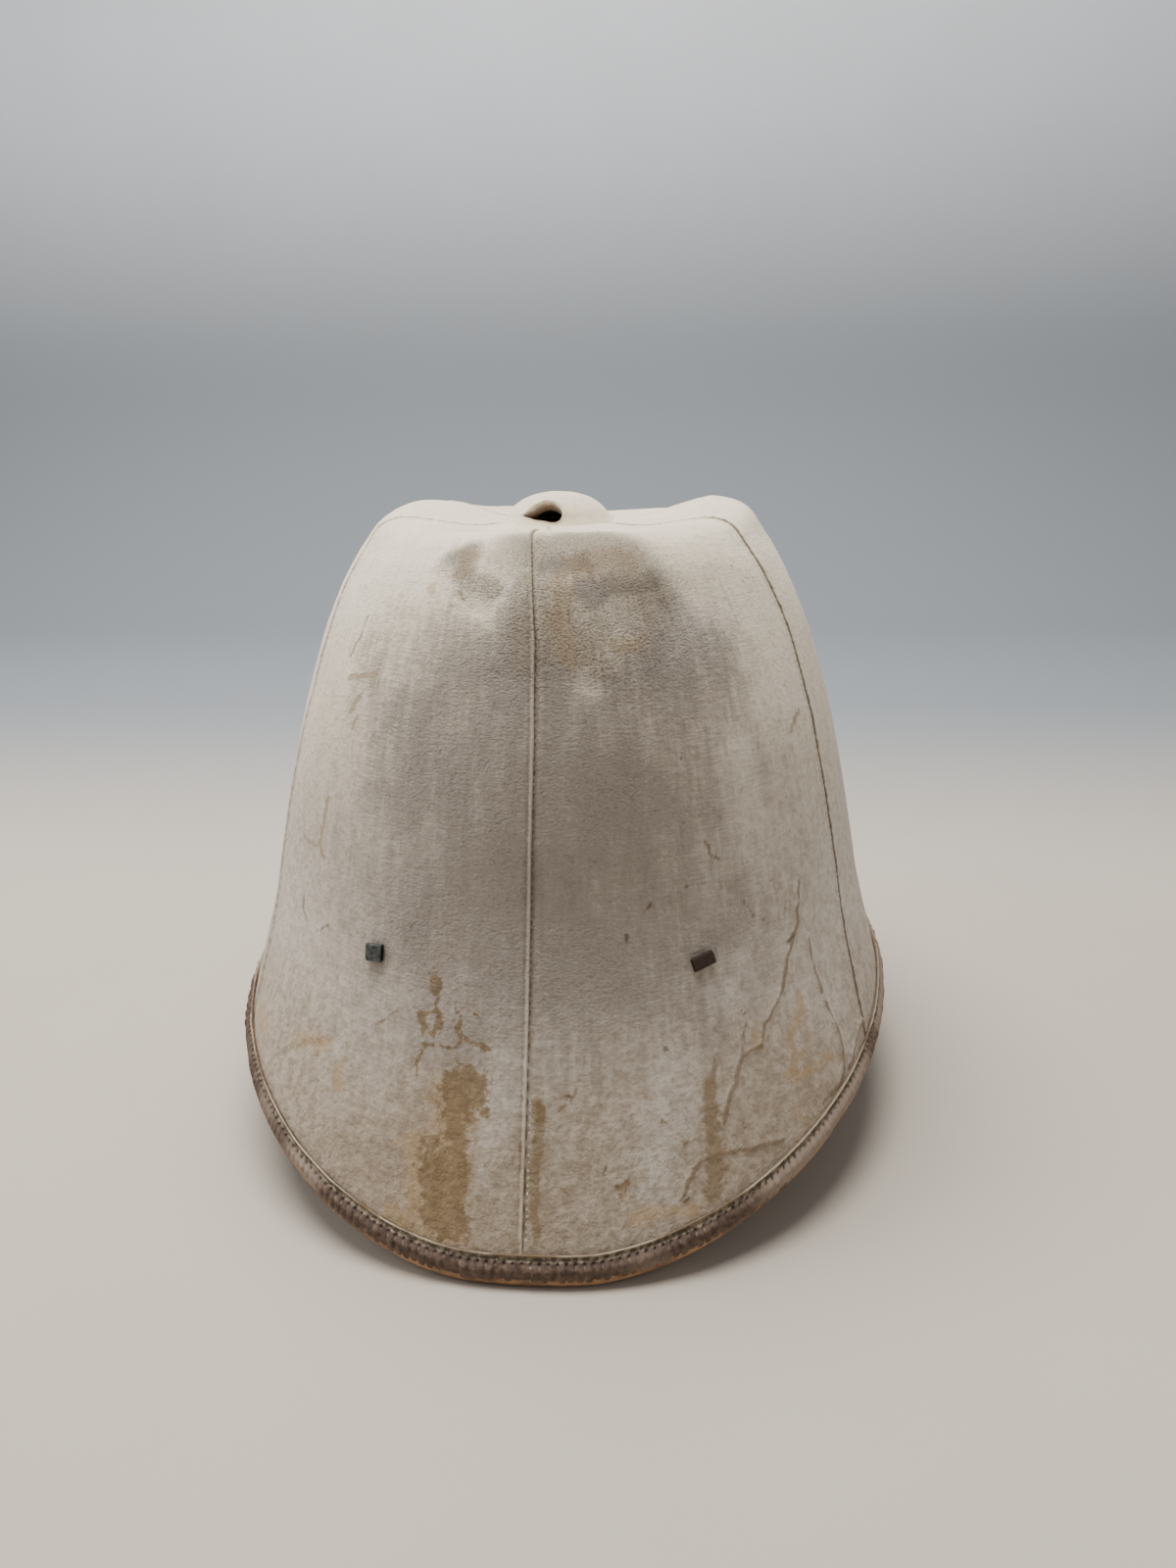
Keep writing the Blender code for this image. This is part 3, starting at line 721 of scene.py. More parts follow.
def cotton_finish():
    """Whitened cotton: the whitening, painted lighter on the top as painted light, then dirt and painted
    shade over it, the marks one by one and then the relief.
    """
    material, tree, shader = new_finish("worn_cotton", 0.92)
    spot = place_on_object(tree)
    threads = cloth_place(tree)
    broad = cloud(tree, spot, 24.0)
    patchy = cloud(tree, spot, 95.0, 4.0, 0.6)
    small = cloud(tree, spot, 260.0, 4.0, 0.65)
    fine = cloud(tree, spot, 520.0, 3.0, 0.6)
    grain = cloud(tree, stretched(tree, threads, 1.0, 1.5), 820.0, 3.0, 0.6)
    weft = cloud(tree, stretched(tree, threads, 0.10, 1.0), 1300.0, 2.0)
    drips = cloud(tree, stretched(tree, threads, 1.0, 0.10), 330.0, 4.0, 0.65)
    nap, veil, thin = (painted_mask(tree, name) for name in ("nap", "grime_and_shade", "thin"))
    breakup = sums(tree, "ADD", sums(tree, "MULTIPLY", patchy, 0.2), sums(tree, "MULTIPLY", small, 0.22))
    breakup = sums(tree, "ADD", breakup, sums(tree, "MULTIPLY", drips, 0.4))

    # The crown is painted creamier by height: partly thicker clay, partly painted light on the lit top
    cream = mixed(tree, soft_step(tree, broad, 0.35, 0.65), paint(252, 238, 214), paint(240, 224, 198))
    chalk = mixed(tree, soft_step(tree, small, 0.36, 0.66), paint(208, 197, 183), paint(190, 177, 161))
    clay_and_top_light = mixed(tree, soft_step(tree, painted_mask(tree, "height"), 0.1, 0.212), chalk, cream)
    worn = soft_step(tree, sums(tree, "ADD", thin, sums(tree, "SUBTRACT", breakup, 0.41)), 0.08, 0.85)
    dull = mixed(tree, soft_step(tree, small, 0.36, 0.64), paint(174, 157, 137), paint(152, 135, 114))
    bare = soft_step(tree, thin, 0.4, 0.75, 0.0, 0.3)
    blots = sums(tree, "MULTIPLY", soft_step(tree, patchy, 0.6, 0.7), bare)
    tone = mixed(tree, blots, mixed(tree, worn, clay_and_top_light, dull), paint(148, 124, 94))
    weave = sums(tree, "SUBTRACT", sums(tree, "ADD", weft, drips), 1.0)
    # Where the grime mask is high the cloth goes grey: rubbed grime, and painted shade in the dents'
    # hollows and inside the boss
    soiled_and_shaded = sums(tree, "ADD", veil, sums(tree, "MULTIPLY", weave, 0.95))
    soiled_and_shaded = sums(tree, "ADD", soiled_and_shaded, sums(tree, "MULTIPLY", sums(tree, "SUBTRACT", patchy, 0.5), 0.5))
    tone = mixed(tree, soft_step(tree, soiled_and_shaded, 0.05, 0.95, 0.0, 0.88), tone, paint(155, 144, 133))
    crumbled = sums(tree, "ADD", sums(tree, "MULTIPLY", small, 0.5), sums(tree, "MULTIPLY", fine, 0.5))
    stain_and_shade_tone = mixed(tree, soft_step(tree, small, 0.3, 0.7), paint(142, 118, 84), paint(116, 95, 66))
    # The stain mask also darkens the inside of the boss as painted shade
    # Mask, noise that breaks up its edge and how much, start and end of the edge, strength and colour
    kinds = (
        ("ochre", small, 0.9, 0.25, 1.0, 0.5, paint(180, 148, 102)),
        ("stain_and_shade", crumbled, 1.7, 0.3, 0.75, 0.84, stain_and_shade_tone),
        ("streak", crumbled, 1.5, 0.25, 0.8, 0.72, paint(132, 110, 78)),
        ("tide", patchy, 0.4, 0.12, 0.6, 0.72, paint(122, 100, 74)),
        ("chip", fine, 0.5, 0.42, 0.5, 0.8, paint(174, 152, 120)),
    )
    marks = {}
    for name, noise, wobble, low, high, strength, colour in kinds:
        marks[name] = edged(tree, painted_mask(tree, name), noise, wobble, low, high)
        tone = dyed(tree, tone, marks[name], strength, colour)
    dots = sums(tree, "MULTIPLY", soft_step(tree, fine, 0.7, 0.76), soft_step(tree, patchy, 0.45, 0.6))
    tone = dyed(tree, tone, dots, 0.75, paint(84, 72, 60))
    tone = mixed(tree, soft_step(tree, nap, 0.5, 1.0, 0.0, 0.35), tone, paint(188, 168, 140))
    # Painted shade: the pits between the raised pebbles of nap are darkened
    raised_nap = soft_step(tree, nap, 0.08, 0.95, 0.08, 0.55)
    pits = sums(tree, "MULTIPLY", soft_step(tree, grain, 0.56, 0.34), raised_nap)
    tone = mixed(tree, pits, tone, paint(104, 88, 70))
    tone = mixed(tree, soft_step(tree, fine, 0.5, 0.72, 0.0, 0.2), tone, paint(116, 102, 88))
    groove = edged(tree, painted_mask(tree, "groove"), fine, 1.1, 0.15, 0.85)
    tone = dyed(tree, tone, groove, 0.8, paint(96, 76, 54))
    cord = soft_step(tree, painted_mask(tree, "cord"), 0.25, 0.8, 0.0, 0.6)
    tone = mixed(tree, cord, tone, paint(198, 184, 160))
    fill(tree, shader.inputs["Base Color"], tone)

    flaked = raised(tree, marks["chip"], -0.00025)
    crust = sums(tree, "ADD", sums(tree, "ADD", small, fine), sums(tree, "MULTIPLY", worn, -0.5))
    crust = sums(tree, "MULTIPLY", crust, soft_step(tree, nap, 0.1, 0.8, 0.3, 1.0))
    crusted = raised(tree, crust, 0.0009, flaked)
    woven = raised(tree, weft, 0.00012, crusted)
    height = sums(tree, "MULTIPLY", grain, soft_step(tree, nap, 0.08, 0.9, 0.05, 1.3))
    fill(tree, shader.inputs["Normal"], raised(tree, height, 0.0017, woven))
    shader.inputs["Sheen Weight"].default_value = 0.1
    shader.inputs["Sheen Roughness"].default_value = 0.6
    shader.inputs["Specular IOR Level"].default_value = 0.25
    return material


COTTON = cotton_finish()
print("cotton nodes:", len(COTTON.node_tree.nodes))

# %% [markdown]
# ## Six cotton panels
# A helmet cover is cut as gores that are stretched over the body and sewn edge to edge. Each panel here
# is a fine grid in real cloth thickness. Its columns crowd together at the seams, where the relief is
# sharpest: along the rear seam one edge stands up as a thin bright ridge, with a puckered groove on each
# side.

# %% Relief of the cloth
PUCKER_PITCH = 0.0023
BINDING_HEIGHT = 0.0098
RIDGE_OFFSET = -0.00015
# Folds along a seam, in metres: height, middle to the right of the seam and half width
REAR_FOLDS = (
    (0.0006, RIDGE_OFFSET, 0.00042),
    (-0.00034, 0.00085, 0.00045),
    (-0.0002, -0.00105, 0.0004),
    (0.00022, 0.0028, 0.0013),
)
REAR_TIGHT_PUCKERS = ((0.00013, 0.0014, 0.0009), (0.00007, -0.0014, 0.0009))
REAR_WIDE_PUCKERS = ((0.0001, 0.003, 0.0014),)
SIDE_LIPS = ((0.00045, 0.0014, 0.0008),)
SIDE_GROOVE = ((-0.0005, 0, 0.0006),)
# Grime in the grooves of the rear seam: strength, middle and half width
REAR_GRIME = ((1.0, 0.0005, 0.00035), (0.5, -0.0008, 0.0003))
SIDE_GRIME = ((1.3, 0, 0.001),)
# Unevenness of the whole cloth, in metres: height and size of the lumps
UNEVEN = ((0.00024, 0.026), (0.0001, 0.009), (0.00005, 0.0032))


def bell(distance, centre, width):
    return np.exp(-(((distance - centre) / width) ** 2))


def folds(offsets, rows):
    """The sum of several bells across a seam."""
    return sum(height * bell(offsets, middle, width) for height, middle, width in rows)


def cloth_relief(points, offsets, run, rear):
    """How far the cloth stands out at points that lie so far to the right of a seam and so far down it."""
    wander = 1.4 * lumps(points, 0.006, 5)
    pucker = np.sin(run / PUCKER_PITCH * 2 * np.pi + wander) * (0.7 + 0.5 * lumps(points, 0.004, 6))
    tight = np.sin(run / PUCKER_PITCH * 4 * np.pi + 2 * wander) * (0.6 + 0.6 * lumps(points, 0.005, 8))
    if rear:
        puckers = tight * folds(offsets, REAR_TIGHT_PUCKERS) + pucker * folds(offsets, REAR_WIDE_PUCKERS)
        return folds(offsets, REAR_FOLDS) + puckers
    return folds(np.abs(offsets), SIDE_LIPS) * (1 + 0.25 * pucker) + folds(offsets, SIDE_GROOVE)


def shared_relief(points):
    """Unevenness and creases that don't depend on a seam."""
    total = sum(height * lumps(points, size, seed) for seed, (height, size) in enumerate(UNEVEN, 1))
    moved = ragged(points, 0.004, 0.0007)
    for half_width, depth, line in CREASES:
        total += depth * MM * stroke(moved, line, half_width * MM)
    return total


print("seam folds:", len(REAR_FOLDS), "and creases:", len(CREASES))


# %% Places and faces for fine grids
def lengths_along(line):
    """How far along a line each of its points lies."""
    return np.concatenate([[0], np.cumsum(np.linalg.norm(np.diff(line, axis=0), axis=1))])


def even_places(angle, pitch, first, last):
    """Places down one meridian, spaced evenly by length, and the length of them all."""
    dense = np.linspace(first, last, 900)
    length = lengths_along(wall_face(np.full(len(dense), angle), dense))
    rows = int(length[-1] / pitch)
    return np.interp(np.linspace(0, length[-1], rows + 1), length, dense), length[-1]


def grid_faces(rows, columns, offset=0, flip=False):
    """Four-cornered faces of a grid of points stored row by row."""
    corner = (np.arange(rows - 1)[:, None] * columns + np.arange(columns - 1)).ravel() + offset
    faces = np.stack([corner, corner + 1, corner + columns + 1, corner + columns], -1)
    return faces[:, ::-1] if flip else faces


def seam_turn(place):
    """How far the seams have wandered round at each place, as an angle."""
    return np.radians(np.interp(place, np.arange(1, LAST_PLACE + 1), SEAM_TURNS))


def every(count, step):
    """Every few of the numbers below count, with the last one always among them."""
    return np.unique(np.append(np.arange(0, count, step), count - 1))


def border_faces(rows, columns, kept_rows, kept_columns, inner):
    """Many-cornered faces from the edge of a fine grid to that of a coarse one that starts at inner."""
    wide = len(kept_columns)
    down, across = np.arange(len(kept_rows)) * wide, np.arange(wide)
    sides = (
        (kept_columns, 1, 0, across),
        (kept_rows[::-1], columns, 0, down[::-1]),
        (kept_columns[::-1], 1, (rows - 1) * columns, (across + down[-1])[::-1]),
        (kept_rows, columns, columns - 1, down + wide - 1),
    )
    faces = []
    for kept, stride, start, coarse in sides:
        for index in range(len(kept) - 1):
            first, last = int(kept[index]), int(kept[index + 1])
            way = 1 if last > first else -1
            fine = [start + stride * number for number in range(last, first - way, -way)]
            faces.append([*fine, int(coarse[index]) + inner, int(coarse[index + 1]) + inner])
    return faces


def double_skin(rows, around):
    """Faces of a closed skin with an outside and an inside, each of so many rows of points round a ring."""
    count = rows * around
    column = np.arange(around)
    following = (column + 1) % around
    faces = []
    for row in range(rows - 1):
        low, high = row * around, (row + 1) * around
        faces.append(np.stack([high + column, high + following, low + following, low + column], -1))
        faces.append(np.stack([low + column, low + following, high + following, high + column], -1) + count)
    for row, sense in ((0, 1), (rows - 1, -1)):
        low = row * around
        strip = np.stack([low + column, low + following, count + low + following, count + low + column], -1)
        faces.append(strip[:, ::sense])
    return np.concatenate(faces)


def cloth_area(corners):
    """The area of a grid of points, from the diagonals of its cells."""
    across = corners[:-1, 1:] - corners[1:, :-1]
    along = corners[1:, 1:] - corners[:-1, :-1]
    return np.linalg.norm(np.cross(across, along), axis=2).sum() / 2


def make_object(name, points, faces, material):
    mesh = bpy.data.meshes.new(name)
    mesh.from_pydata(points.tolist(), [], faces if isinstance(faces, list) else faces.tolist())
    mesh.materials.append(material)
    mesh.shade_smooth()
    mesh.update()
    made = bpy.data.objects.new(name, mesh)
    bpy.context.scene.collection.objects.link(made)
    return made


print("the rear meridian is", round(even_places(0, 0.001, 1, LAST_PLACE)[1] / MM), "mm long")


# %% Masks and maps that the finishes read
# The grey veil across the rear: middle and half width in degrees, ends and their fading in millimetres
VEIL_BEARING = 5
VEIL_HALF_WIDTH = 37
VEIL_FOOT = 44
VEIL_FOOT_FADE = 42
VEIL_HEAD = 216
VEIL_HEAD_FADE = 30


def give_mask(made, name, values):
    """Paints a number on every point of a piece."""
    layer = made.data.attributes.new(name, "FLOAT", "POINT")
    layer.data.foreach_set("value", np.asarray(values, dtype=np.float32))


def give_cloth_map(made, across, along):
    """Real lengths over the cloth, in metres, for patterns that follow its threads."""
    layer = made.data.uv_layers.new(name="cloth")
    corners = np.zeros(len(made.data.loops), dtype=np.int32)
    made.data.loops.foreach_get("vertex_index", corners)
    layer.data.foreach_set("uv", np.stack([across[corners], along[corners]], -1).ravel().astype(np.float32))


def grime_veil(points):
    """The rubbed grey band across the rear, thin at its edges and drawn out downward."""
    bearing = np.degrees(np.arctan2(points[:, 0], -points[:, 1]))
    height = points[:, 2] / MM + 9 * lumps(points, 0.022, 23)
    side = bearing - VEIL_BEARING + 7 * lumps(points, 0.02, 24)
    across = np.exp(-((np.abs(side) / VEIL_HALF_WIDTH) ** 3.4))
    upright = np.clip((height - VEIL_FOOT) / VEIL_FOOT_FADE, 0, 1)
    upright = upright * np.clip((VEIL_HEAD - height) / VEIL_HEAD_FADE, 0, 1)
    drawn_out = points * np.array([1, 1, 0.22])
    patches = 0.86 + 0.2 * lumps(points, 0.024, 25) + 0.16 * lumps(drawn_out, 0.006, 26)
    return across * upright**0.8 * patches


def wear_and_shade_masks(points, groove, cord):
    """All the painted masks of the cotton, by name."""
    height = points[:, 2]
    bright = rubbed(points, BRIGHT, 0.006, 0.003)
    veil = grime_veil(points) * (1 - 0.5 * bright)
    low_down = np.clip((0.085 - height) / 0.05, 0, 1)
    top = np.clip((height - 0.208) / 0.006, 0, 1)
    drift = lumps(points, 0.03, 21)
    thin = 0.2 + 0.5 * low_down + 0.2 * veil + 0.16 * drift - 0.3 * bright - 0.3 * top
    thin = np.clip(thin, 0, 1)
    nap = np.clip(rubbed(points, NAP, 0.01, 0.004) + 0.45 * veil, 0.06 + 0.2 * low_down, 1)
    return {
        # The grime mask also takes the smudges, which are partly painted shade in the dents' hollows
        "grime_and_shade": np.clip(np.maximum(veil, 1.1 * rubbed(points, SMUDGES_AND_DENT_SHADE, 0.009, 0.004)), 0, 1.2),
        "thin": thin,
        "nap": nap,
        "stain_and_shade": rubbed(points, STAIN),
        "streak": rubbed(points, STREAKS, 0.002, 0.0005),
        "tide": rubbed(points, TIDE_LINES, 0.003, 0.0008),
        "ochre": rubbed(points, OCHRE),
        "chip": rubbed(points, CHIPS, 0.0016, 0.0007),
        "groove": np.maximum(groove, rubbed(points, SPECKS, 0.001, 0.0003)),
        "cord": cord,
        "height": height,
    }


print("masks of the cotton:", ", ".join(wear_and_shade_masks(np.array([on_wall(0, 120)]), 0, 0)))

# %% Build a panel
SEAM_GAP = 0.0005
SEAM_CROWDING = 0.82
REAR_EDGE_LEFT = -0.0002
REAR_EDGE_RIGHT = 0.0004
LINING_STEP = 5
MAP_RADIUS = 0.115
RELIEF_FADE = 0.004
BOSS_MARGIN = 0.001


def relief_share(points, bottom):
    """The share of its relief that the cloth shows: none under the binding or under the boss."""
    over_binding = np.clip((points[:, 2] - bottom - BINDING_HEIGHT) / RELIEF_FADE, 0, 1)
    from_vent = np.hypot(points[:, 0] + BOSS_SIDEWAYS, points[:, 1])
    return over_binding * np.clip((from_vent - BOSS_RADIUS - BOSS_MARGIN) / RELIEF_FADE, 0, 1)


def seam_wear(points, run, edges):
    """Relief, grooves and bare cord for a panel, from how far its points lie from the seam at each edge."""
    relief = shared_relief(points)
    groove, cord = np.zeros(len(points)), np.zeros(len(points))
    for degrees, offsets in edges:
        relief += cloth_relief(points, offsets, run, degrees == 0)
        if degrees == 0:
            cord = bell(offsets, RIDGE_OFFSET, 0.0004)
            dotted = 0.7 + 0.4 * np.sin(run / PUCKER_PITCH * 2 * np.pi)
            groove = np.maximum(groove, folds(offsets, REAR_GRIME) * dotted)
        else:
            groove = np.maximum(groove, folds(offsets, SIDE_GRIME))
    return relief, groove, cord


def cotton_panel(name, node, start_degrees, end_degrees, columns, pitch):
    """One gore of the cover, from seam to seam and from under the boss to inside the rim binding."""
    start, end = math.radians(start_degrees), math.radians(end_degrees)
    share = np.linspace(0, 1, columns)
    share = share - SEAM_CROWDING * np.sin(2 * np.pi * share) / (2 * np.pi)
    places, length = even_places((start + end) / 2, pitch, 1, LAST_PLACE)
    rows = len(places)
    angle = np.tile(start + (end - start) * share, rows)
    place = np.repeat(places, columns)
    turned = angle + seam_turn(place)
    outer = wall_face(turned, place)
    out, down = wall_directions(turned, place)
    reach = np.hypot(outer[:, 0], outer[:, 1])
    hidden = place == LAST_PLACE
    outer[hidden] -= down[hidden] * RIM_INSET
    column = np.arange(len(angle)) % columns
    first_trim = REAR_EDGE_RIGHT if start_degrees == 0 else SEAM_GAP / 2
    last_trim = REAR_EDGE_LEFT if end_degrees == 0 else SEAM_GAP / 2
    trim = np.where(column == 0, first_trim, 0) - np.where(column == columns - 1, last_trim, 0)
    outer += np.cross(out, down) * trim[:, None]

    run = (place - 1) / (LAST_PLACE - 1) * length
    edges = ((start_degrees, (angle - start) * reach), (end_degrees, (angle - end) * reach))
    relief, groove, cord = seam_wear(outer, run, edges)
    bottom = wall_face(turned, np.full(len(angle), LAST_PLACE))[:, 2]
    face = outer + out * (relief * relief_share(outer, bottom))[:, None]
    kept_rows, kept_columns = every(rows, LINING_STEP), every(columns, LINING_STEP)
    kept = (kept_rows[:, None] * columns + kept_columns).ravel()
    lining = outer[kept] - out[kept] * CLOTH_WALL
    count = len(outer)
    faces = grid_faces(rows, columns, 0, True).tolist()
    faces += grid_faces(len(kept_rows), len(kept_columns), count).tolist()
    faces += border_faces(rows, columns, kept_rows, kept_columns, count)
    made = make_object(name, np.concatenate([face, lining]), faces, COTTON)
    for mask, values in wear_and_shade_masks(outer, groove, cord).items():
        give_mask(made, mask, np.concatenate([values, values[kept]]))
    across = (angle - start) * MAP_RADIUS
    give_cloth_map(made, np.concatenate([across, across[kept]]), np.concatenate([run, run[kept]]))

    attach(made, "root")
    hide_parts(node)
    corners = outer.reshape(rows, columns, 3)
    widest = np.linalg.norm(np.diff(corners, axis=1), axis=2).sum(1).max()
    longest = max(length, np.linalg.norm(np.diff(corners, axis=0), axis=2).sum(0).max())
    area = cloth_area(corners)
    flat = f"{widest * 1000:.0f} x {longest * 1000:.0f} mm, {area * 1e4:.0f} cm2"
    print(name, rows, "rows,", len(made.data.polygons), "faces, flat", flat)
    return made


# %% Stretch the six panels over the shell
# Name, solid it stands for, first and last seam in degrees from the rear, columns, and row pitch
PANELS = (
    ("rear_right_gore", "panel_rear_right", 0, REAR_SEAM_DEG, 205, 0.00078),
    ("rear_left_gore", "panel_rear_left", -REAR_SEAM_DEG, 0, 205, 0.00078),
    ("side_right_gore", "panel_side_right", REAR_SEAM_DEG, FRONT_SEAM_DEG, 84, 0.0018),
    ("side_left_gore", "panel_side_left", -FRONT_SEAM_DEG, -REAR_SEAM_DEG, 84, 0.0018),
    ("front_right_gore", "panel_front_right", FRONT_SEAM_DEG, 180, 84, 0.0018),
    ("front_left_gore", "panel_front_left", -180, -FRONT_SEAM_DEG, 84, 0.0018),
)
for row in PANELS:
    cotton_panel(*row)

# %% [markdown]
# ## Stitches of the rear seam
# A row of cotton stitches holds the overlapping edge down, a little to the right of the ridge. It still
# shows as white dots low on the peak, where the whitening didn't bury it. Each stitch is a short rounded
# bar that dips at both ends.

# %% Thread finish and stitches
STITCH_PITCH = PUCKER_PITCH
STITCH_LENGTH = 0.0012
THREAD_RADIUS = 0.00024
THREAD_LIFT = 0.0001
SEAM_STITCH_OFFSET = 0.0014
SEAM_STITCH_HEIGHTS = (0.0125, 0.052)


def thread_finish(name, light, dark):
    material, tree, shader = new_finish(name, 0.85)
    worn = soft_step(tree, cloud(tree, place_on_object(tree), 170.0), 0.4, 0.62)
    fill(tree, shader.inputs["Base Color"], mixed(tree, worn, light, dark))
    shader.inputs["Sheen Weight"].default_value = 0.1
    return material


def thread_bars(name, middles, directions, outs, length, radius, material):
    """Many short rounded bars in one piece: six-sided, narrow at the ends and bowed outward."""
    girth = np.array([0.35, 0.9, 1.0, 0.9, 0.35])
    sides = 6
    across = np.cross(directions, outs)
    rings = []
    for station, size in zip(np.linspace(-1, 1, len(girth)), girth):
        centre = middles + directions * (station * length / 2) - outs * (radius * 1.1 * station**2)
        for turn in np.arange(sides) * math.pi / 3:
            rings.append(centre + (across * math.cos(turn) + outs * math.sin(turn)) * (radius * size))
    points = np.stack(rings, 1)
    ring = np.arange(sides)
    following = (ring + 1) % sides
    band = np.stack([ring, following, following + sides, ring + sides], -1)
    skin = [band + station * sides for station in range(len(girth) - 1)]
    # Each end is a hexagon made of two four-cornered faces
    ends = np.array([[5, 4, 3, 2], [5, 2, 1, 0], [24, 25, 26, 27], [24, 27, 28, 29]])
    one = np.concatenate([*skin, ends])
    faces = (one[None] + (np.arange(len(middles)) * len(rings))[:, None, None]).reshape(-1, 4)
    return make_object(name, points.reshape(-1, 3), faces, material)


seam_places = even_places(0, STITCH_PITCH, 1, LAST_PLACE)[0]
seam_line = wall_face(np.zeros(len(seam_places)), seam_places)
low, high = SEAM_STITCH_HEIGHTS
kept = (seam_line[:, 2] > low) & (seam_line[:, 2] < high)
reach = np.hypot(seam_line[kept, 0], seam_line[kept, 1])
angles = SEAM_STITCH_OFFSET / reach + seam_turn(seam_places[kept])
middles = wall_face(angles, seam_places[kept])
outs, downs = wall_directions(angles, seam_places[kept])
WHITE_THREAD = thread_finish("whitened_thread", paint(228, 222, 212), paint(176, 160, 138))
middles = middles + outs * THREAD_LIFT
bar = (STITCH_LENGTH, THREAD_RADIUS, WHITE_THREAD)
seam_thread = thread_bars("rear_seam_stitches", middles, downs, outs, *bar)
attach(seam_thread, "root")
print("seam stitches:", len(middles))

# %% [markdown]
# ## Leather rim binding
# A strip of thin leather was folded round the edge of the pith and the cloth and sewn through. Outside,
# it has four bands from top to bottom: a pale lip, caked with whitening and given a painted highlight
# along its lit edge, a dark groove, a puckered roll that holds the stitch holes, and the tan foot where
# the fold has been rubbed bare. The stitches pull the roll into small pinches, one at each hole, which
# are built as real relief; their ridges carry painted highlights and the holes are painted dark as
# painted shade.

# %% Binding sizes and profile
BINDING_WALL = 0.0012
BINDING_SWELL = 0.0009
SWELL_SPREAD = 0.2
SWELL_SUNK = 0.0004
# Where the fold begins, as a share of the binding's height
FOLD_SHARE = 0.43
RIM_STITCHES = 345
COLUMNS_A_STITCH = 7
HOLE_SHARE = 0.72
GROOVE_SHARE = 0.84
LIP_SHARE = 0.97
ROLL_SHARE = 0.5
FOOT_SHARE = 0.25
RELIEF_REACH = 0.003
FOOT_TURNS = [math.radians(turn) for turn in (0, 8, 16, 24, 32, 40, 50, 62, 76, 90, 110, 135, 158, 180)]


def binding_section():
    """The strip's section as (out of the wall, past the rim), outside face first and then the channel."""
    stack = CLOTH_WALL + LAYER_GAP + PITH_WALL
    radius = stack / 2 + LAYER_GAP + BINDING_WALL
    outer, inner = LAYER_GAP + BINDING_WALL, -stack - LAYER_GAP - BINDING_WALL
    face = []
    for rise in np.linspace(BINDING_HEIGHT, radius, 20)[:-1]:
        swell = bell(rise / BINDING_HEIGHT, ROLL_SHARE, SWELL_SPREAD)
        face.append((outer - SWELL_SUNK + BINDING_SWELL * swell, -rise))
    for turn in FOOT_TURNS:
        lean = max(math.cos(turn), 0)
        swell = (BINDING_SWELL * bell(FOLD_SHARE, ROLL_SHARE, SWELL_SPREAD) - SWELL_SUNK) * lean
        over = -stack / 2 + (radius + swell) * math.cos(turn)
        face.append((over, -radius + radius * math.sin(turn)))
    face += [(inner, -0.65 * BINDING_HEIGHT), (inner, -BINDING_HEIGHT)]
    channel_foot = LAYER_GAP - RIM_INSET
    channel = [(-stack - LAYER_GAP, -BINDING_HEIGHT), (-stack - LAYER_GAP, channel_foot)]
    channel += [(LAYER_GAP, channel_foot), (LAYER_GAP, -BINDING_HEIGHT)]
    return np.array(face), np.array(channel)


FACE_LINE, CHANNEL_LINE = binding_section()
print("binding section:", len(FACE_LINE) + len(CHANNEL_LINE), "points")


# %% Leather finish
def leather_finish():
    """Brown leather in four bands by how high they lie, with caked whitening, worn spots, painted
    highlights on the lip and the pinches, and painted shade in the stitch holes.
    """
    material, tree, shader = new_finish("rim_leather", 0.62)
    spot = place_on_object(tree)
    patchy = cloud(tree, spot, 60.0, 4.0, 0.6)
    fine = cloud(tree, spot, 520.0, 3.0, 0.6)
    wander = sums(tree, "MULTIPLY", sums(tree, "SUBTRACT", cloud(tree, spot, 260.0), 0.5), 0.1)
    rise = sums(tree, "ADD", painted_mask(tree, "rise"), wander)
    tan = mixed(tree, soft_step(tree, patchy, 0.4, 0.62), paint(166, 127, 88), paint(110, 82, 58))
    roll = mixed(tree, soft_step(tree, fine, 0.35, 0.7), paint(70, 53, 42), paint(104, 83, 68))
    caking = edged(tree, painted_mask(tree, "caked"), patchy, 0.8, 0.45, 1.0)
    roll = dyed(tree, roll, caking, 0.7, paint(160, 141, 124))
    # Painted highlights: pale marks on the pinched ridges of the roll at each hole
    pinch_highlight = edged(tree, painted_mask(tree, "pinch"), fine, 1.2, 0.4, 1.7)
    roll = mixed(tree, pinch_highlight, roll, paint(142, 120, 100))
    groove = mixed(tree, soft_step(tree, fine, 0.42, 0.62), paint(84, 72, 56), paint(146, 130, 108))
    # The lip is partly caked whitening and partly a painted highlight on its lit edge
    broken = sums(tree, "ADD", patchy, sums(tree, "MULTIPLY", painted_mask(tree, "caked"), 0.3))
    broken = soft_step(tree, broken, 0.54, 0.76)
    lip = mixed(tree, broken, paint(120, 102, 76), paint(190, 176, 152))
    tone = mixed(tree, soft_step(tree, rise, 0.25, 0.29), tan, roll)
    tone = mixed(tree, soft_step(tree, rise, 0.74, 0.79), tone, groove)
    tone = mixed(tree, soft_step(tree, rise, 0.92, 0.95), tone, lip)
    # Painted shade: the stitch holes are painted near black
    tone = mixed(tree, painted_mask(tree, "hole_shade"), tone, paint(30, 22, 18))
    worn = soft_step(tree, fine, 0.68, 0.8)
    fill(tree, shader.inputs["Base Color"], dyed(tree, tone, worn, 0.6, paint(196, 172, 150)))
    fill(tree, shader.inputs["Normal"], raised(tree, fine, 0.00016))
    shader.inputs["Specular IOR Level"].default_value = 0.35
    return material


LEATHER = leather_finish()
print("leather nodes:", len(LEATHER.node_tree.nodes))


# %% Fold the binding round the rim
def even_rim(steps):
    """Angles spaced evenly by length round the rim, and that length."""
    dense = np.linspace(-math.pi, math.pi, 7201)
    length = lengths_along(wall_face(dense, np.full(len(dense), LAST_PLACE)))
    return np.interp(np.arange(steps) / steps * length[-1], length, dense), length[-1]


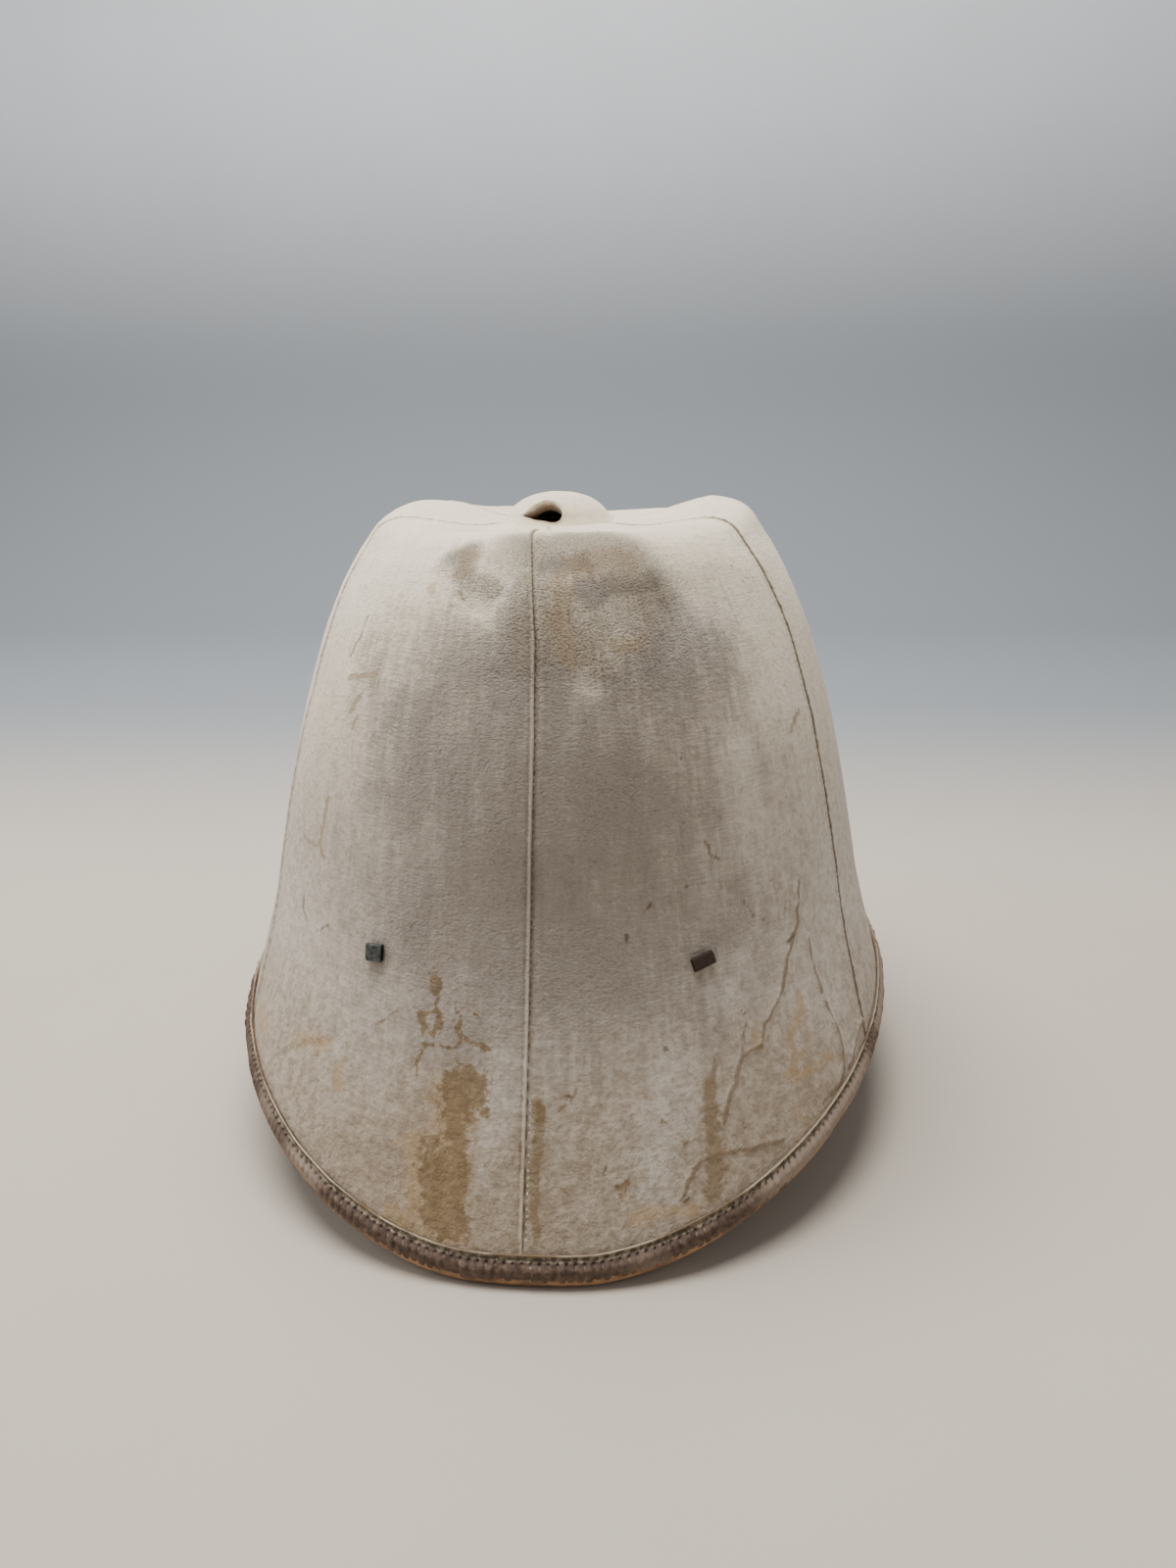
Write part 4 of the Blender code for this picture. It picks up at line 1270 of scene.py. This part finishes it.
def rim_strip():
    """The binding as a closed tube round the rim, with the masks that its finish reads."""
    columns = RIM_STITCHES * COLUMNS_A_STITCH
    angle, length = even_rim(columns)
    rim = wall_face(angle, np.full(columns, LAST_PLACE))
    out, down = wall_directions(angle, np.full(columns, LAST_PLACE))
    phase = np.cos(2 * np.pi * np.arange(columns) / COLUMNS_A_STITCH)
    own = scatter(np.stack([np.arange(columns) // COLUMNS_A_STITCH] * 3, -1), 7)
    pinch = np.clip(phase, 0, 1) ** 1.5
    lobe = (1 - pinch) * (1 + 0.7 * own)
    pressed = np.clip(phase * 2.6 - 1.4, 0, 1) * (1.2 + 0.6 * own)
    section = np.concatenate([FACE_LINE, CHANNEL_LINE])
    plain = np.zeros(columns)
    points, rises, hole_shades, pinch_highlights = [], [], [], []
    for index, (over, past) in enumerate(section):
        base = rim + out * over + down * past
        share = -past / BINDING_HEIGHT
        if index < len(FACE_LINE) and over > -RELIEF_REACH:
            shift = 0.00025 * bell(share, LIP_SHARE, 0.03) - 0.0005 * bell(share, GROOVE_SHARE, 0.06)
            shift = shift - 0.0008 * bell(share, HOLE_SHARE, 0.055) * pinch
            shift += (0.00048 * lobe - 0.00025) * bell(share, ROLL_SHARE, 0.17)
            shift -= 0.0003 * bell(share, FOOT_SHARE - 0.03 * lobe, 0.03)
            shift += (0.00025 * lumps(base, 0.011, 31) + 0.00012 * lumps(base, 0.003, 32)) * (share > 0.05)
            shift *= np.clip((over + RELIEF_REACH) / RELIEF_REACH, 0, 1)
            points.append(base + out * shift[:, None])
            rises.append(share + 0.085 * lobe * bell(share, FOOT_SHARE - 0.05, 0.12))
            # The hole mask paints shade into each stitch hole; the pinch mask paints highlights on the
            # pinched ridges
            hole_shades.append(np.clip(bell(share, HOLE_SHARE, 0.05) * pressed, 0, 1))
            pinch_highlights.append(pinch * bell(share, 0.62, 0.13) * (0.75 + 0.75 * own))
        else:
            points.append(base)
            rises.append(plain + 0.1)
            hole_shades.append(plain)
            pinch_highlights.append(plain)
    points = np.stack(points, 1)
    foot = np.minimum(points[..., 2].min(), 0)
    points[..., 2] = np.maximum(points[..., 2], RIM_FLOOR)
    rows = len(section)
    here = np.arange(columns) * rows
    there = (np.arange(columns) + 1) % columns * rows
    faces = []
    for index in range(rows):
        beyond = (index + 1) % rows
        faces.append(np.stack([here + index, there + index, there + beyond, here + beyond], -1))
    made = make_object("rim_strip", points.reshape(-1, 3), np.concatenate(faces)[:, ::-1], LEATHER)
    flat = points.reshape(-1, 3)
    bearing = np.degrees(np.arctan2(flat[:, 0], -flat[:, 1]))
    caked = np.clip(0.5 + 0.5 * lumps(flat, 0.02, 41) + 0.5 * np.clip((bearing - 22) / 20, 0, 1), 0, 1)
    give_mask(made, "rise", np.stack(rises, 1).ravel())
    give_mask(made, "hole_shade", np.stack(hole_shades, 1).ravel())
    give_mask(made, "pinch", np.stack(pinch_highlights, 1).ravel())
    give_mask(made, "caked", caked)
    print("rim length", round(length * 1000), "mm, lowest point was", round(foot * 1000, 3), "mm")
    return made


RIM_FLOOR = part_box("rim_binding")[0].z
binding = rim_strip()
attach(binding, "root")
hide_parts("rim_binding")
print("binding faces:", len(binding.data.polygons))

# %% [markdown]
# ## Pith body
# Under the cloth is the body itself, a bell of pith or cork about four millimetres thick. It was pressed
# over a block from layered sheets, so inside it shows as a smooth tan wall with fine pores. Only the
# inside and the edge of the vent hole can be seen, from below.

# %% Press the pith shell
SHELL_COLUMNS = 180
SHELL_PITCH = 0.0026


def pith_finish():
    material, tree, shader = new_finish("pith", 0.95)
    spot = place_on_object(tree)
    broad = soft_step(tree, cloud(tree, spot, 30.0, 4.0), 0.35, 0.65)
    pores = cloud(tree, stretched(tree, spot, 1.0, 1.0, 2.2), 640.0, 3.0, 0.6)
    tone = mixed(tree, broad, paint(190, 160, 118), paint(164, 134, 96))
    tone = mixed(tree, soft_step(tree, pores, 0.6, 0.74, 0.0, 0.7), tone, paint(112, 86, 60))
    fill(tree, shader.inputs["Base Color"], tone)
    fill(tree, shader.inputs["Normal"], raised(tree, pores, 0.0002))
    shader.inputs["Specular IOR Level"].default_value = 0.2
    return material


def pith_body():
    """The shell, a layer of the same wall that begins below the cloth and a small gap."""
    places, length = even_places(0, SHELL_PITCH, 0, LAST_PLACE)
    rows = len(places)
    turns = np.linspace(-math.pi, math.pi, SHELL_COLUMNS + 1)[:-1]
    angle, place = np.tile(turns, rows), np.repeat(places, SHELL_COLUMNS)
    face = wall_face(angle, place)
    out, down = wall_directions(angle, place)
    edge = place == LAST_PLACE
    face[edge] -= down[edge] * RIM_INSET
    depth = CLOTH_WALL + LAYER_GAP
    outer = face - out * depth
    inner = face - out * (depth + PITH_WALL)
    inner -= out * (0.00025 * lumps(inner, 0.02, 51))[:, None]
    points = np.concatenate([outer, inner])
    made = make_object("pith_body", points, double_skin(rows, SHELL_COLUMNS), pith_finish())
    print("pith body", rows, "rows, meridian", round(length * 1000), "mm")
    return made


body = pith_body()
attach(body, "root")
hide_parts("pith_shell")

# %% [markdown]
# ## Torn boss over the vent
# Air leaves through a hole in the crown, under a small dome of the same cotton. The dome has torn open
# at its rear left. Under the arch of the tear the lining hangs in, its inner face painted grey as painted
# shade inside the dome, and below it is a dark hole. The skin is drawn as lines that run from the lip of
# the tear to the foot of the dome, so the lip is a clean edge whatever its outline.

# %% Boss sizes and the lip of the tear
BOSS_HEIGHT = 0.0122
BOSS_CLOTH = 0.0013
BOSS_SKIRT = 0.0042
BOSS_SPREAD = 0.0026
BOSS_AROUND = 128
BOSS_DOWN = 46
LINING_HANG = Vector((0.0006, 0.0030, -0.0026))
boss_foot = Vector((-BOSS_SIDEWAYS, 0, boss_low.z))
boss_foot.y = (boss_low.y + boss_high.y) / 2
# The lip seen from the rear: millimetres to the right of the boss's axis and above its foot
LIP = (
    (-11.5, 4.3),
    (-8.6, 3.5),
    (-6.0, 2.9),
    (-3.2, 2.7),
    (-0.4, 2.2),
    (1.6, 2.3),
    (3.0, 3.2),
    (3.6, 4.7),
    (3.2, 6.4),
    (1.8, 7.9),
    (-0.3, 8.9),
    (-2.6, 9.2),
    (-5.0, 8.7),
    (-7.4, 7.4),
    (-9.6, 5.8),
)


def smooth_loop(corners, count):
    """A closed smooth line through the corners, as evenly numbered points."""
    corners = np.array(corners, dtype=float)
    turn = np.arange(count) / count * len(corners)
    index = turn.astype(int)
    t = (turn - index)[:, None]
    return pass_through(*(corners[(index + step) % len(corners)] for step in (-1, 0, 1, 2)), t)


def dome_skin():
    """Unit-sphere points from the lip to the foot, and how far down each line they lie."""
    lip = smooth_loop(LIP, BOSS_AROUND) * MM
    across = lip[:, 0] / BOSS_RADIUS
    rise = lip[:, 1] / BOSS_HEIGHT
    rearward = -np.sqrt(np.maximum(1 - across**2 - rise**2, 0.02))
    start = np.stack([across, rearward, rise], -1)
    start /= np.linalg.norm(start, axis=1, keepdims=True)
    middle = start.mean(0)
    middle /= np.linalg.norm(middle)
    tangent = start - (start @ middle)[:, None] * middle
    upward = np.cross(middle, [1.0, 0, 0])
    upward /= np.linalg.norm(upward)
    if upward[2] < 0:
        upward = -upward
    sideways = np.cross(upward, middle)
    heading = np.arctan2(tangent @ upward, tangent @ sideways)
    direction = np.cos(heading)[:, None] * sideways + np.sin(heading)[:, None] * upward
    reach = np.full(BOSS_AROUND, math.pi)
    for step in np.linspace(0.02, math.pi, 600):
        spot = math.cos(step) * middle + math.sin(step) * direction
        reach = np.where((spot[:, 2] <= 0) & (reach == math.pi), step, reach)
    first = np.arccos(np.clip(start @ middle, -1, 1))
    share = np.linspace(0, 1, BOSS_DOWN) ** 0.85
    turned = first[None] + (reach - first)[None] * share[:, None]
    skin = np.cos(turned)[..., None] * middle + np.sin(turned)[..., None] * direction[None]
    skin[..., 2] = np.maximum(skin[..., 2], 0)
    skin /= np.linalg.norm(skin, axis=2, keepdims=True)
    return skin, share


def boss_cap():
    """The dome's cloth with its skirt, its torn lip and the lining that hangs under the arch."""
    skin, share = dome_skin()
    size = np.array([BOSS_RADIUS, BOSS_RADIUS, BOSS_HEIGHT])
    foot = np.array(boss_foot)
    out = skin / size
    out /= np.linalg.norm(out, axis=2, keepdims=True)
    face = foot + skin * size
    flat = face.reshape(-1, 3)
    lip_roll = 0.0004 * np.exp(-((share / 0.06) ** 2))[:, None, None]
    uneven = 0.00018 * lumps(flat, 0.009, 61) + 0.00008 * lumps(flat, 0.0035, 62)
    uneven = uneven.reshape(BOSS_DOWN, -1, 1)
    lifted = np.clip((face[..., 2:] - foot[2]) / 0.002, 0, 1)
    skirt = np.clip(1 - (face[..., 2:] - foot[2]) / BOSS_SKIRT, 0, 1) ** 2
    sideways = skin * np.array([1.0, 1.0, 0.0])
    face = face + sideways * (skirt * BOSS_SPREAD)
    outer = face + out * (lip_roll + uneven) * lifted - out * 0.0001
    inner = face - out * (BOSS_CLOTH - 0.5 * lip_roll)
    under_the_arch = np.clip((face[:1, :, 2:] - foot[2] - 0.0042) / 0.0028, 0, 1)
    inner += under_the_arch * np.exp(-((share / 0.13) ** 2))[:, None, None] * np.array(LINING_HANG)
    inner[..., 2] = np.maximum(inner[..., 2], foot[2])
    points = np.concatenate([outer.reshape(-1, 3), inner.reshape(-1, 3)])
    made = make_object("boss_cap", points, double_skin(BOSS_DOWN, BOSS_AROUND)[:, ::-1], COTTON)
    bm = bmesh.new()
    bm.from_mesh(made.data)
    bmesh.ops.recalc_face_normals(bm, faces=bm.faces)
    bm.to_mesh(made.data)
    bm.free()
    inside = np.repeat([0.0, 1.0], BOSS_DOWN * BOSS_AROUND)
    torn = np.concatenate([np.repeat(np.exp(-((share / 0.05) ** 2)), BOSS_AROUND)] * 2)
    masks = dict.fromkeys(("thin", "cord", "groove", "streak", "tide", "ochre", "chip"), 0.0 * inside)
    # Painted shade: the inner face is darkened through the grime and stain masks, as shade inside the dome;
    # the outer lip gets a little grime at the tear
    masks["grime_and_shade"] = 0.15 * torn * (1 - inside) + 1.6 * inside
    masks["nap"] = 0.0 * inside + 0.03
    masks["stain_and_shade"] = 0.55 * inside
    masks["height"] = points[:, 2]
    for mask, values in masks.items():
        give_mask(made, mask, values)
    give_cloth_map(made, points[:, 0], points[:, 1] + points[:, 2])
    outline = outer.reshape(BOSS_DOWN, BOSS_AROUND, 3)
    return made, cloth_area(np.concatenate([outline, outline[:, :1]], 1))


cap, cap_area = boss_cap()
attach(cap, "root")
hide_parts("vent_boss")

# %% [markdown]
# ## Two strap clips
# A chin strap once hooked on to small loops of bent metal strip. Each is a flat tube lying on the cloth,
# on a leg that goes through the wall. The left one is dark grey steel with a bright worn edge, and the
# right one has rusted brown. They are bent strips, so each is drawn as an open roll of even thickness
# with rounded, slightly ragged ends.

# %% Metal finishes
def metal_finish(name, roughness, metallic, base, worn, rust, rust_share):
    material, tree, shader = new_finish(name, roughness, metallic)
    spot = place_on_object(tree)
    patchy = cloud(tree, spot, 700.0, 4.0, 0.65)
    pits = cloud(tree, spot, 2200.0, 3.0, 0.6)
    tone = mixed(tree, soft_step(tree, patchy, 0.4, 0.62), base, worn)
    rusted = soft_step(tree, patchy, 1 - rust_share - 0.12, 1 - rust_share + 0.12)
    fill(tree, shader.inputs["Base Color"], mixed(tree, rusted, tone, rust))
    fill(tree, shader.inputs["Roughness"], soft_step(tree, rusted, 0.0, 1.0, roughness, 0.9))
    fill(tree, shader.inputs["Metallic"], soft_step(tree, rusted, 0.0, 1.0, metallic, 0.1))
    fill(tree, shader.inputs["Normal"], raised(tree, pits, 0.0001))
    return material


STEEL = metal_finish("dull_steel", 0.42, 0.9, paint(96, 98, 96), paint(62, 66, 62), paint(92, 72, 52), 0.3)
RUST = metal_finish("rusty_steel", 0.65, 0.4, paint(66, 56, 45), paint(36, 29, 23), paint(58, 43, 30), 0.55)
print("metals ready")

# %% Bend the clips
CLIP_DEPTH = 0.0018
CLIP_STRAP = 0.0005
CLIP_LEG_WIDTH = 0.0046
CLIP_LEG_THICK = 0.0009
CLIP_LEG_BEYOND = 0.0010
# Name, solid, material, angle, drop below the band, tilt in degrees, width, tall
CLIPS = (
    ("left_strap_clip", "clip_left", STEEL, "dull_steel", -26.4, 0.0119, 2, 0.0064, 0.0060),
    ("right_strap_clip", "clip_right", RUST, "rusty_steel", 26.4, 0.0126, 18, 0.0078, 0.0046),
)


def clip_seat(angle, drop, tilt):
    """Where a clip stands: X across it, Y up the wall, Z out of the wall."""
    height = BAND_HEIGHT - drop + SET_DOWN[2]
    low, high = 4.0, float(LAST_PLACE)
    for _ in range(40):
        middle = (low + high) / 2
        low, high = (middle, high) if wall_face(angle, middle)[0, 2] > height else (low, middle)
    out, down = (Vector(part[0]) for part in wall_directions(angle, low))
    across = out.cross(down).normalized()
    turn = Matrix((across, -down, out)).transposed().to_4x4()
    spot = Matrix.Translation(Vector(wall_face(angle, low)[0]))
    return spot @ turn @ Matrix.Rotation(math.radians(tilt), 4, "Z")


def round_corners(width, height, radius, steps):
    """The outline of a box with round corners, as (x, y) points about its middle."""
    outline = []
    for corner, (side, upper) in enumerate(((1, 1), (-1, 1), (-1, -1), (1, -1))):
        for step in range(steps + 1):
            turn = math.pi / 2 * (corner + step / steps)
            x = side * (width / 2 - radius) + radius * math.cos(turn)
            outline.append((x, upper * (height / 2 - radius) + radius * math.sin(turn)))
    return np.array(outline)


def bent_clip(name, node, metal, slot_name, angle_degrees, drop, tilt, width, tall):
    """A flat tube of metal strip with its axis across the wall, and its leg."""
    steps, stations = 6, 19
    outline = round_corners(CLIP_DEPTH, tall, CLIP_DEPTH * 0.45, steps)
    hollow = round_corners(CLIP_DEPTH - 2 * CLIP_STRAP, tall - 2 * CLIP_STRAP, CLIP_DEPTH * 0.18, steps)
    along = np.linspace(-1, 1, stations)
    along = np.sign(along) * (1 - (1 - np.abs(along)) ** 1.3)
    count = len(outline)
    points = []
    for line, inward in ((outline, 1), (hollow, -1)):
        for station in along:
            ends = max(abs(station) - 0.9, 0) / 0.1
            tuck = CLIP_STRAP * 0.25 * ends**2 * inward
            normal = line / np.maximum(np.abs(line).max(0), 1e-6)
            normal = normal / np.maximum(np.linalg.norm(normal, axis=1, keepdims=True), 1e-6)
            shape = line - normal * tuck
            x = np.full(count, station * width / 2)
            points.append(np.stack([x, shape[:, 1], shape[:, 0] + CLIP_DEPTH / 2 + LAYER_GAP], -1))
    points = np.concatenate(points)
    ragged_end = 0.00025 * lumps(points, 0.0012, 71 + int(tilt))
    points[:, 0] += ragged_end * (np.abs(points[:, 0]) / (width / 2)) ** 6
    points[:, 2] += 0.00012 * lumps(points, 0.0022, 72) * (points[:, 2] > CLIP_DEPTH * 0.7)
    made = make_object(name, points, double_skin(stations, count)[:, ::-1], metal)
    bm = bmesh.new()
    bm.from_mesh(made.data)
    wall = CLOTH_WALL + LAYER_GAP + PITH_WALL
    leg_top, leg_end = LAYER_GAP + CLIP_STRAP * 0.6, -wall - CLIP_LEG_BEYOND
    size = (CLIP_LEG_WIDTH, CLIP_LEG_THICK, leg_top - leg_end)
    place = Matrix.Translation((0, 0, (leg_top + leg_end) / 2)) @ Matrix.Diagonal((*size, 1))
    leg = bmesh.ops.create_cube(bm, size=1, matrix=place)
    edges = {edge for vert in leg["verts"] for edge in vert.link_edges}
    bmesh.ops.bevel(bm, geom=list(edges), offset=0.00018, segments=2, affect="EDGES")
    bmesh.ops.recalc_face_normals(bm, faces=bm.faces)
    bm.transform(clip_seat(math.radians(angle_degrees), drop, tilt))
    bm.to_mesh(made.data)
    bm.free()
    made.data.set_sharp_from_angle(angle=math.radians(40))
    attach(made, "root")
    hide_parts(node)
    low_box, high_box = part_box(node)
    print(name, "solid centre", [round(value * 1000, 1) for value in (low_box + high_box) / 2])
    return made


for row in CLIPS:
    bent_clip(*row)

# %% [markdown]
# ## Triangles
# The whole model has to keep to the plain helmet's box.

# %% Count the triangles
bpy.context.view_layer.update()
triangles = {}
for piece in bpy.context.scene.objects:
    if piece.type == "MESH":
        triangles[piece.name] = sum(len(face.vertices) - 2 for face in piece.data.polygons)
print("triangles:", sum(triangles.values()), "largest:", max(triangles, key=triangles.get))
